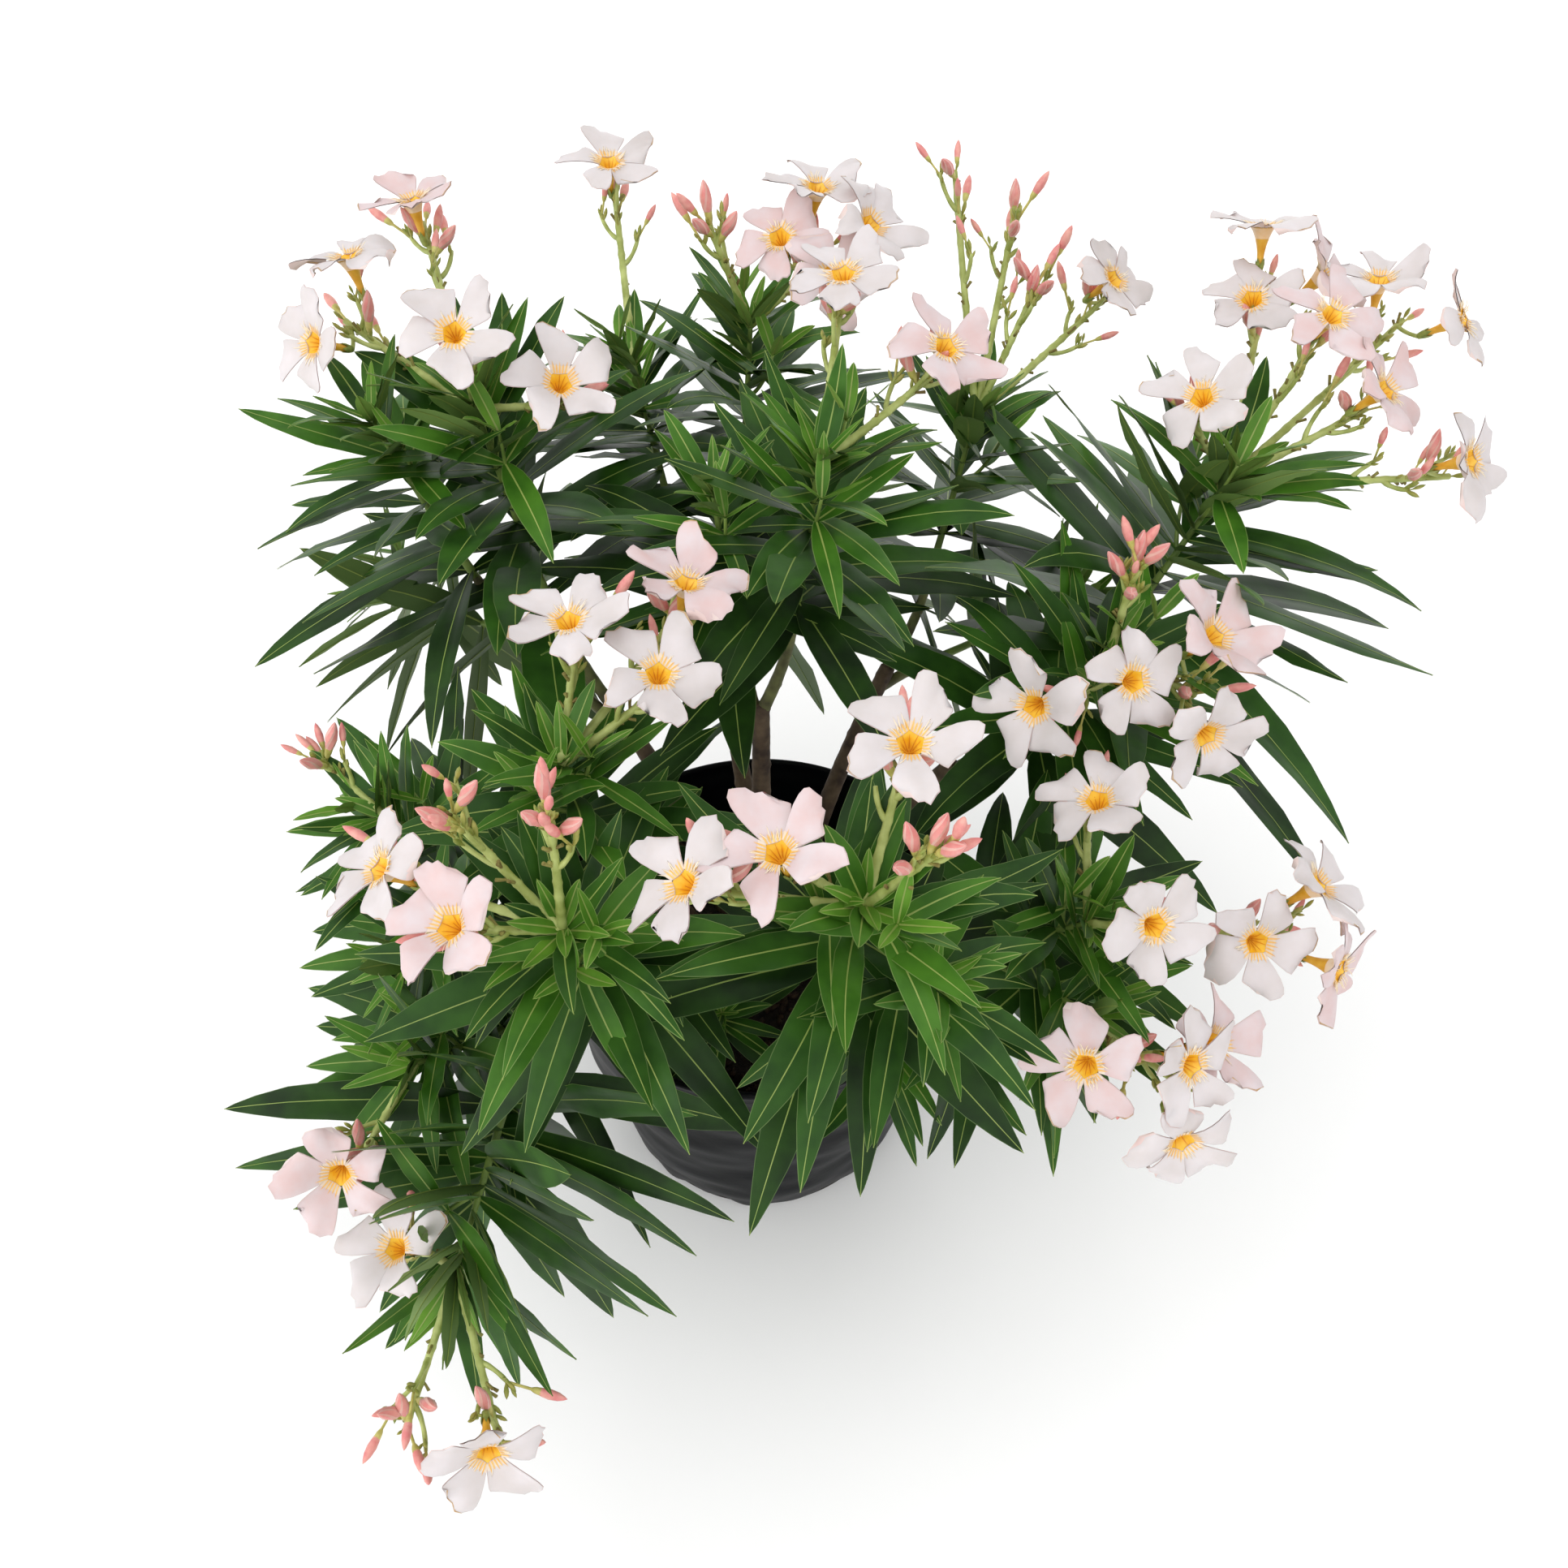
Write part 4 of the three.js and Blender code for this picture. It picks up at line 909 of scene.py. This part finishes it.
# Rolled petals with a satin skin: salmon pink, paler where the outer petal lies over.
BUD_GLOW = dict(Subsurface_Weight=0.2, Subsurface_Scale=0.003)
bud_pink = mottled("salmon_bud", "d9837f", "e5a199", 7, 0.48, **BUD_GLOW)
bud_pale = mottled("pale_bud_edges", "e2a89f", "eabcb0", 7, 0.48, **BUD_GLOW)
bud_base = mottled("yellow_green_bud_base", "a8a24a", "cfc878", 5, 0.5)
bud_small = mottled("green_young_bud", "808f3c", "a9a454", 4, 0.5)
bud_rose = mottled("rose_young_bud", "da7f7e", "e8a99c", 5, 0.48)
# Of every three columns round a bud two are the rolled petal and one its pale edge.
body = bud_grids(buds, BUD_BODY, BUD_SIDES, 1.0, BUD_TWIST, BUD_RIDGE)
petal_starts = range(0, BUD_SIDES, 3)
surface("large_buds", [body[:, :, k:k + 3] for k in petal_starts], bud_pink)
pale_columns = [np.roll(body, -k, axis=2)[:, :, 2:4] for k in petal_starts]
surface("large_bud_edges", pale_columns, bud_pale)
feet = [bud_grids(buds, FOOT, 10, 1.0), bud_grids(pink_buds, LONG_FOOT, 8, 1.15)]
surface("large_bud_feet", feet, bud_base, around=True)
surface("small_buds", [bud_grids(green_buds, SMALL_BODY, 7, 1.3)], bud_small, around=True)
surface("rosy_buds", [bud_grids(pink_buds, ROSY_BODY, 9, 1.2)], bud_rose, around=True)

# ---- Leaves ----
# Leathery lances in whorls of three: dark green above with a pale rib and rim, duller and paler
# below. They are longest and oldest at a shoot's foot, short, steep and fresh green at its tip.

LEAF_SLIMNESS = 5.1
LEAF_ROWS = np.array([0, 0.07, 0.18, 0.32, 0.47, 0.62, 0.76, 0.88, 0.96, 1.0])
LEAF_COLUMNS = np.array([-1, -0.55, 0, 0.55, 1])
WHORL_TURN = 60
HEADING_JITTER, PITCH_JITTER, LENGTH_JITTER, ROLL_JITTER, DROOP_JITTER = 12, 8, 0.1, 14, 0.12
# Ways of lying, in the order tried: degrees turned, sag added and share of the length kept.
TRIES = ((0, 0, 1), (13, 0.15, 1), (-13, -0.2, 0.95), (24, -0.35, 0.8), (-24, 0.3, 0.65))
BLOOM_ROOM = 23.0
# How far the lower face stands out past the upper one at the rim, and how deep it lies.
RIM_WIDTH, RIM_DEPTH = 0.32, 0.12
# Leaf lengths of in-between whorls, of the crown and of side twigs, as shares of the shoot's.
BETWEEN_SIZE, CROWN_SIZE, TWIG_SIZE = 0.85, 0.62, 0.6


def whorls(bend, heights, leaf, random):
    """The whorls of one shoot: at each height three leaves a third of a turn apart, each whorl
    turned by a sixth. Leaves shorten, steepen and straighten towards the tip."""
    def jitter(size):
        return size * (2 * random() - 1)
    rows = []
    first = 360 * random()
    points, leans = course(bend[None], heights)
    for w, height in enumerate(heights):
        east, north = square_to(leans[0, w])
        for k in range(3):
            heading = first + WHORL_TURN * w + 120 * k + jitter(HEADING_JITTER)
            pitch = 90 - 50 * height**1.6 + jitter(PITCH_JITTER)
            length = leaf * (1 - 0.55 * height**2.2) * (1 + jitter(LENGTH_JITTER))
            roll = jitter(ROLL_JITTER)
            sag = 0.36 * (1 - 0.7 * height) + jitter(DROOP_JITTER)
            way = [heading, pitch, length, roll, sag, height]
            rows.append(np.r_[points[0, w], leans[0, w], east, north, way])
    return rows


def posed(rows, turn, droop, share):
    """Root, outward and sideways vectors, length and sag of leaves, from their angles."""
    at, direction, east, north = (rows[:, k:k + 3] for k in (0, 3, 6, 9))
    heading, pitch, roll = (np.radians(rows[:, k])[:, None] for k in (12, 13, 15))
    angle = heading + math.radians(turn)
    away = east * np.cos(angle) + north * np.sin(angle)
    outward = direction * np.cos(pitch) + away * np.sin(pitch)
    side = unit(np.cross(outward, unit(direction + 0.5 * UP)))
    side = side * np.cos(roll) + np.cross(outward, side) * np.sin(roll)
    return at - 0.65 * away, outward, side, rows[:, 14] * share, rows[:, 16] + droop


def grown(rows):
    """Leaves that keep clear of the blooms: each takes the first way of lying that has room, and one
    that finds none is left out. Returns arrays of root, outward, side, length and sag."""
    rows = np.array(rows)
    waiting = np.ones(len(rows), bool)
    found = [np.zeros_like(kept) for kept in posed(rows, *TRIES[0])]
    for way in TRIES:
        made = posed(rows, *way)
        root, outward, _, length, sag = made
        clear = np.ones(len(rows), bool)
        for t in (0.2, 0.35, 0.5, 0.6, 0.7, 0.8, 0.9, 1.0):
            rib = root + length[:, None] * (t * outward - (sag * t * t / 2)[:, None] * UP)
            gap = np.linalg.norm(rib[:, None] - bloom_centre[None], axis=2)
            clear &= gap.min(axis=1) > BLOOM_ROOM
        use = waiting & clear
        for kept, fresh in zip(found, made):
            kept[use] = fresh[use]
        waiting &= ~clear
    return [kept[~waiting] for kept in found]


def leaf_grids(leaves, draw):
    """Leaves as u across and v along. The rib starts at the root and runs out by length times
    v outward less sag v squared over 2 downwards, bending a little to one side. Half width is
    length / slimness / 2 times 3.08 v^0.72 (1 - v)^0.92. The blade rises from the rib like a shallow V,
    rolls down at its edges, twists along its length, and waves at the rim. Returns the upper face,
    the lower face, which shows as a thin rim, and the ribs that stand on the upper and lower faces."""
    root, outward, side, length, sag = leaves
    count = len(root)
    v = LEAF_ROWS[None, :, None]
    of = (slice(None), None, None)
    slim = LEAF_SLIMNESS * draw.uniform(0.9, 1.15, count)
    fold = draw.uniform(0.1, 0.42, count)
    bow = draw.normal(0, 0.05, count)
    twist = draw.normal(0, 0.25, count)
    wave = draw.uniform(0, 0.14, count)
    phase = draw.uniform(0, 2 * math.pi, count)
    curl = draw.normal(0.03, 0.05, count)
    share = LEAF_ROWS[None, :]
    size = length[:, None]
    rib = root[:, None] + (size * share)[..., None] * outward[:, None]
    rib = rib - (size * (sag[:, None] * share**2 / 2 + curl[:, None] * share**4))[..., None] * UP
    rib = rib + (size * bow[:, None] * share**2)[..., None] * side[:, None]
    along = unit(outward[:, None] - (sag[:, None] * share)[..., None] * UP)
    upper = unit(np.cross(side[:, None], along))
    angle = (twist[:, None] * (share - 0.3))[..., None]
    level = side[:, None] * np.cos(angle) + upper * np.sin(angle)
    upper = upper * np.cos(angle) - side[:, None] * np.sin(angle)
    half = (length / slim / 2)[of] * np.maximum(3.08 * v**0.72 * (1 - v) ** 0.92, 0.1 * (1 - v))

    def beside_rib(reach, rise):
        """Points so far to the side of the rib and above it."""
        return rib[:, :, None] + reach[..., None] * level[:, :, None] + rise[..., None] * upper[:, :, None]

    def blade(wider, higher):
        """A face of the blade, its edges pushed out and its whole raised a little."""
        u = LEAF_COLUMNS[None, None, :]
        reach = half * u + wider * np.sign(u) * (np.abs(u) == 1) * (v < 1)
        rise = half * (fold[of] * np.abs(u) - 0.18 * u**2) + higher
        rise = rise + wave[of] * half * np.sin(16 * v + 1.5 * np.sign(u) + phase[of]) * u**2
        return beside_rib(reach, rise)
    u = np.array([-1, 0, 1])
    rib_half = (0.5 - 0.32 * v) * u
    rib_rise = 0.1 + fold[of] * np.abs(rib_half) + 0.18 * (1 - np.abs(u))
    keel_rise = rib_rise - 0.2 - 2 * (rib_rise - fold[of] * np.abs(rib_half))
    keel = beside_rib(1.2 * rib_half, keel_rise)[:, :, ::-1]
    return blade(0, 0), blade(RIM_WIDTH, -RIM_DEPTH), beside_rib(rib_half, rib_rise), keel


old_rows, mature_rows, fresh_rows, young_rows = [], [], [], []
for index, (name, shoot) in enumerate(SHOOTS.items()):
    bend, leaf, count = shoot_bends[name], shoot[4], shoot[5]
    seed = 97 * index
    heights = 0.04 + 0.94 * np.arange(count) / (count - 1)
    middles = (heights[1:] + heights[:-1])[count // 3:] / 2
    first = whorls(bend, heights, leaf, seeded(1009 + seed))
    between = whorls(bend, middles, BETWEEN_SIZE * leaf, seeded(50021 + seed))
    deal = np.random.default_rng(83 + index)
    for row in first + between:
        ranks = (old_rows, mature_rows, fresh_rows)
        ranks[min(int(1.7 * row[17] + 1.1 * deal.random()), 2)].append(row)
    young_rows += whorls(bend, np.array([0.97, 1.0]), CROWN_SIZE * leaf, seeded(60013 + seed))
    for k in range(len(SIDE_TWIGS)):
        if (name, k) in twig_bends:
            random = seeded(70001 + seed + 13 * k)
            rows = whorls(twig_bends[name, k], np.array([0.6, 1.0]), TWIG_SIZE * leaf, random)
            fresh_rows += rows[:3]
            young_rows += rows[3:]

# Waxy living leaves: the sky lies on them as a soft cool sheen, and the green drifts from leaf to leaf.
LEAF_KINDS = {
    "old": (old_rows, "142c0b", "264811", "4e6934"),
    "mature": (mature_rows, "1c3e0d", "325c18", "5b763a"),
    "fresh": (fresh_rows, "2a5510", "46761e", "718f46"),
    "young": (young_rows, "416f1c", "64932c", "84a64c"),
}
rib_green = mottled("pale_leaf_rib", "78923f", "97a957", 20, 0.5)
draw = np.random.default_rng(59)
for kind, (rows, dark, light, pale) in LEAF_KINDS.items():
    leaf_face = mottled(kind + "_leaf_waxy_face", dark, light, 24, 0.44, 0.06, Specular_IOR_Level=0.22)
    leaf_back = mottled(kind + "_leaf_matt_underside", pale, pale, 24, 0.6)
    top, under, spine, keel = leaf_grids(grown(rows), draw)
    surface(kind + "_leaf_faces", [top], leaf_face)
    surface(kind + "_leaf_undersides", [under], leaf_back, turned_over=True)
    surface(kind + "_leaf_ribs", [spine, keel], rib_green)

# ---- Studio ----
# A white floor under a white sky. A broad overhead light draws the faint shadow, three soft boxes
# model the leaves, and the camera looks down from above the front of the pot.

FLOOR_REACH = 60000
PLANT_MIDDLE = Vector((0, 0, 0.3))
# Place in metres, size in metres and power in watts of each soft box.
SOFT_BOXES = {
    "side_light": ((-1.6, -1.0, 1.2), 1.4, 9),
    "fill_light": ((1.8, -1.2, 1.6), 1.8, 5),
    "back_light": ((0.4, 2.2, 0.8), 1.8, 12),
}
OVERHEAD_POWER, OVERHEAD_ANGLE, OVERHEAD_TILT = 1.35, 100, (24, -18, 0)
SKY_STRENGTH = 0.72
CAMERA_PLACE, CAMERA_DOWN = (0.015, -0.573, 1.005), 49.8
FOCAL_LENGTH, FILM_WIDTH = 37.27, 36

# Matt white, to the horizon, so that the floor takes only the softest shadow.
studio_white = mottled("matt_white_floor", "fafafa", "ffffff", 400, 0.9)
corners = [[[x * FLOOR_REACH, y * FLOOR_REACH, 0.0] for x in (-1, 1)] for y in (-1, 1)]
floor = surface("floor", [np.array([corners])], studio_white)
floor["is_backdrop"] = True


def placed(name, data, place=(0, 0, 0), turn=(0, 0, 0)):
    """A light or the camera, put in the scene at a place and turned by three angles."""
    made = bpy.data.objects.new(name, data)
    bpy.context.scene.collection.objects.link(made)
    made.location = place
    made.rotation_euler = turn
    return made


for name, (place, size, power) in SOFT_BOXES.items():
    lamp = bpy.data.lights.new(name, "AREA")
    lamp.size = size
    lamp.energy = power
    placed(name, lamp, place, (PLANT_MIDDLE - Vector(place)).to_track_quat("-Z", "Y").to_euler())
overhead = bpy.data.lights.new("overhead_light", "SUN")
overhead.energy = OVERHEAD_POWER
overhead.angle = math.radians(OVERHEAD_ANGLE)
placed("overhead_light", overhead, turn=[math.radians(angle) for angle in OVERHEAD_TILT])
sky = bpy.data.worlds.new("studio")
bpy.context.scene.world = sky
sky.use_nodes = True
background = sky.node_tree.nodes["Background"].inputs
background["Color"].default_value = (1, 1, 1, 1)
background["Strength"].default_value = SKY_STRENGTH
bpy.context.scene.view_settings.view_transform = "Standard"

lens = bpy.data.cameras.new("camera")
lens.sensor_width = FILM_WIDTH
lens.lens = FOCAL_LENGTH
bpy.context.scene.camera = placed("camera", lens, CAMERA_PLACE, (math.radians(90 - CAMERA_DOWN), 0, 0))

# ---- Bounds ----
sizes = {"cad": cad_box, "visual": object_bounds()}
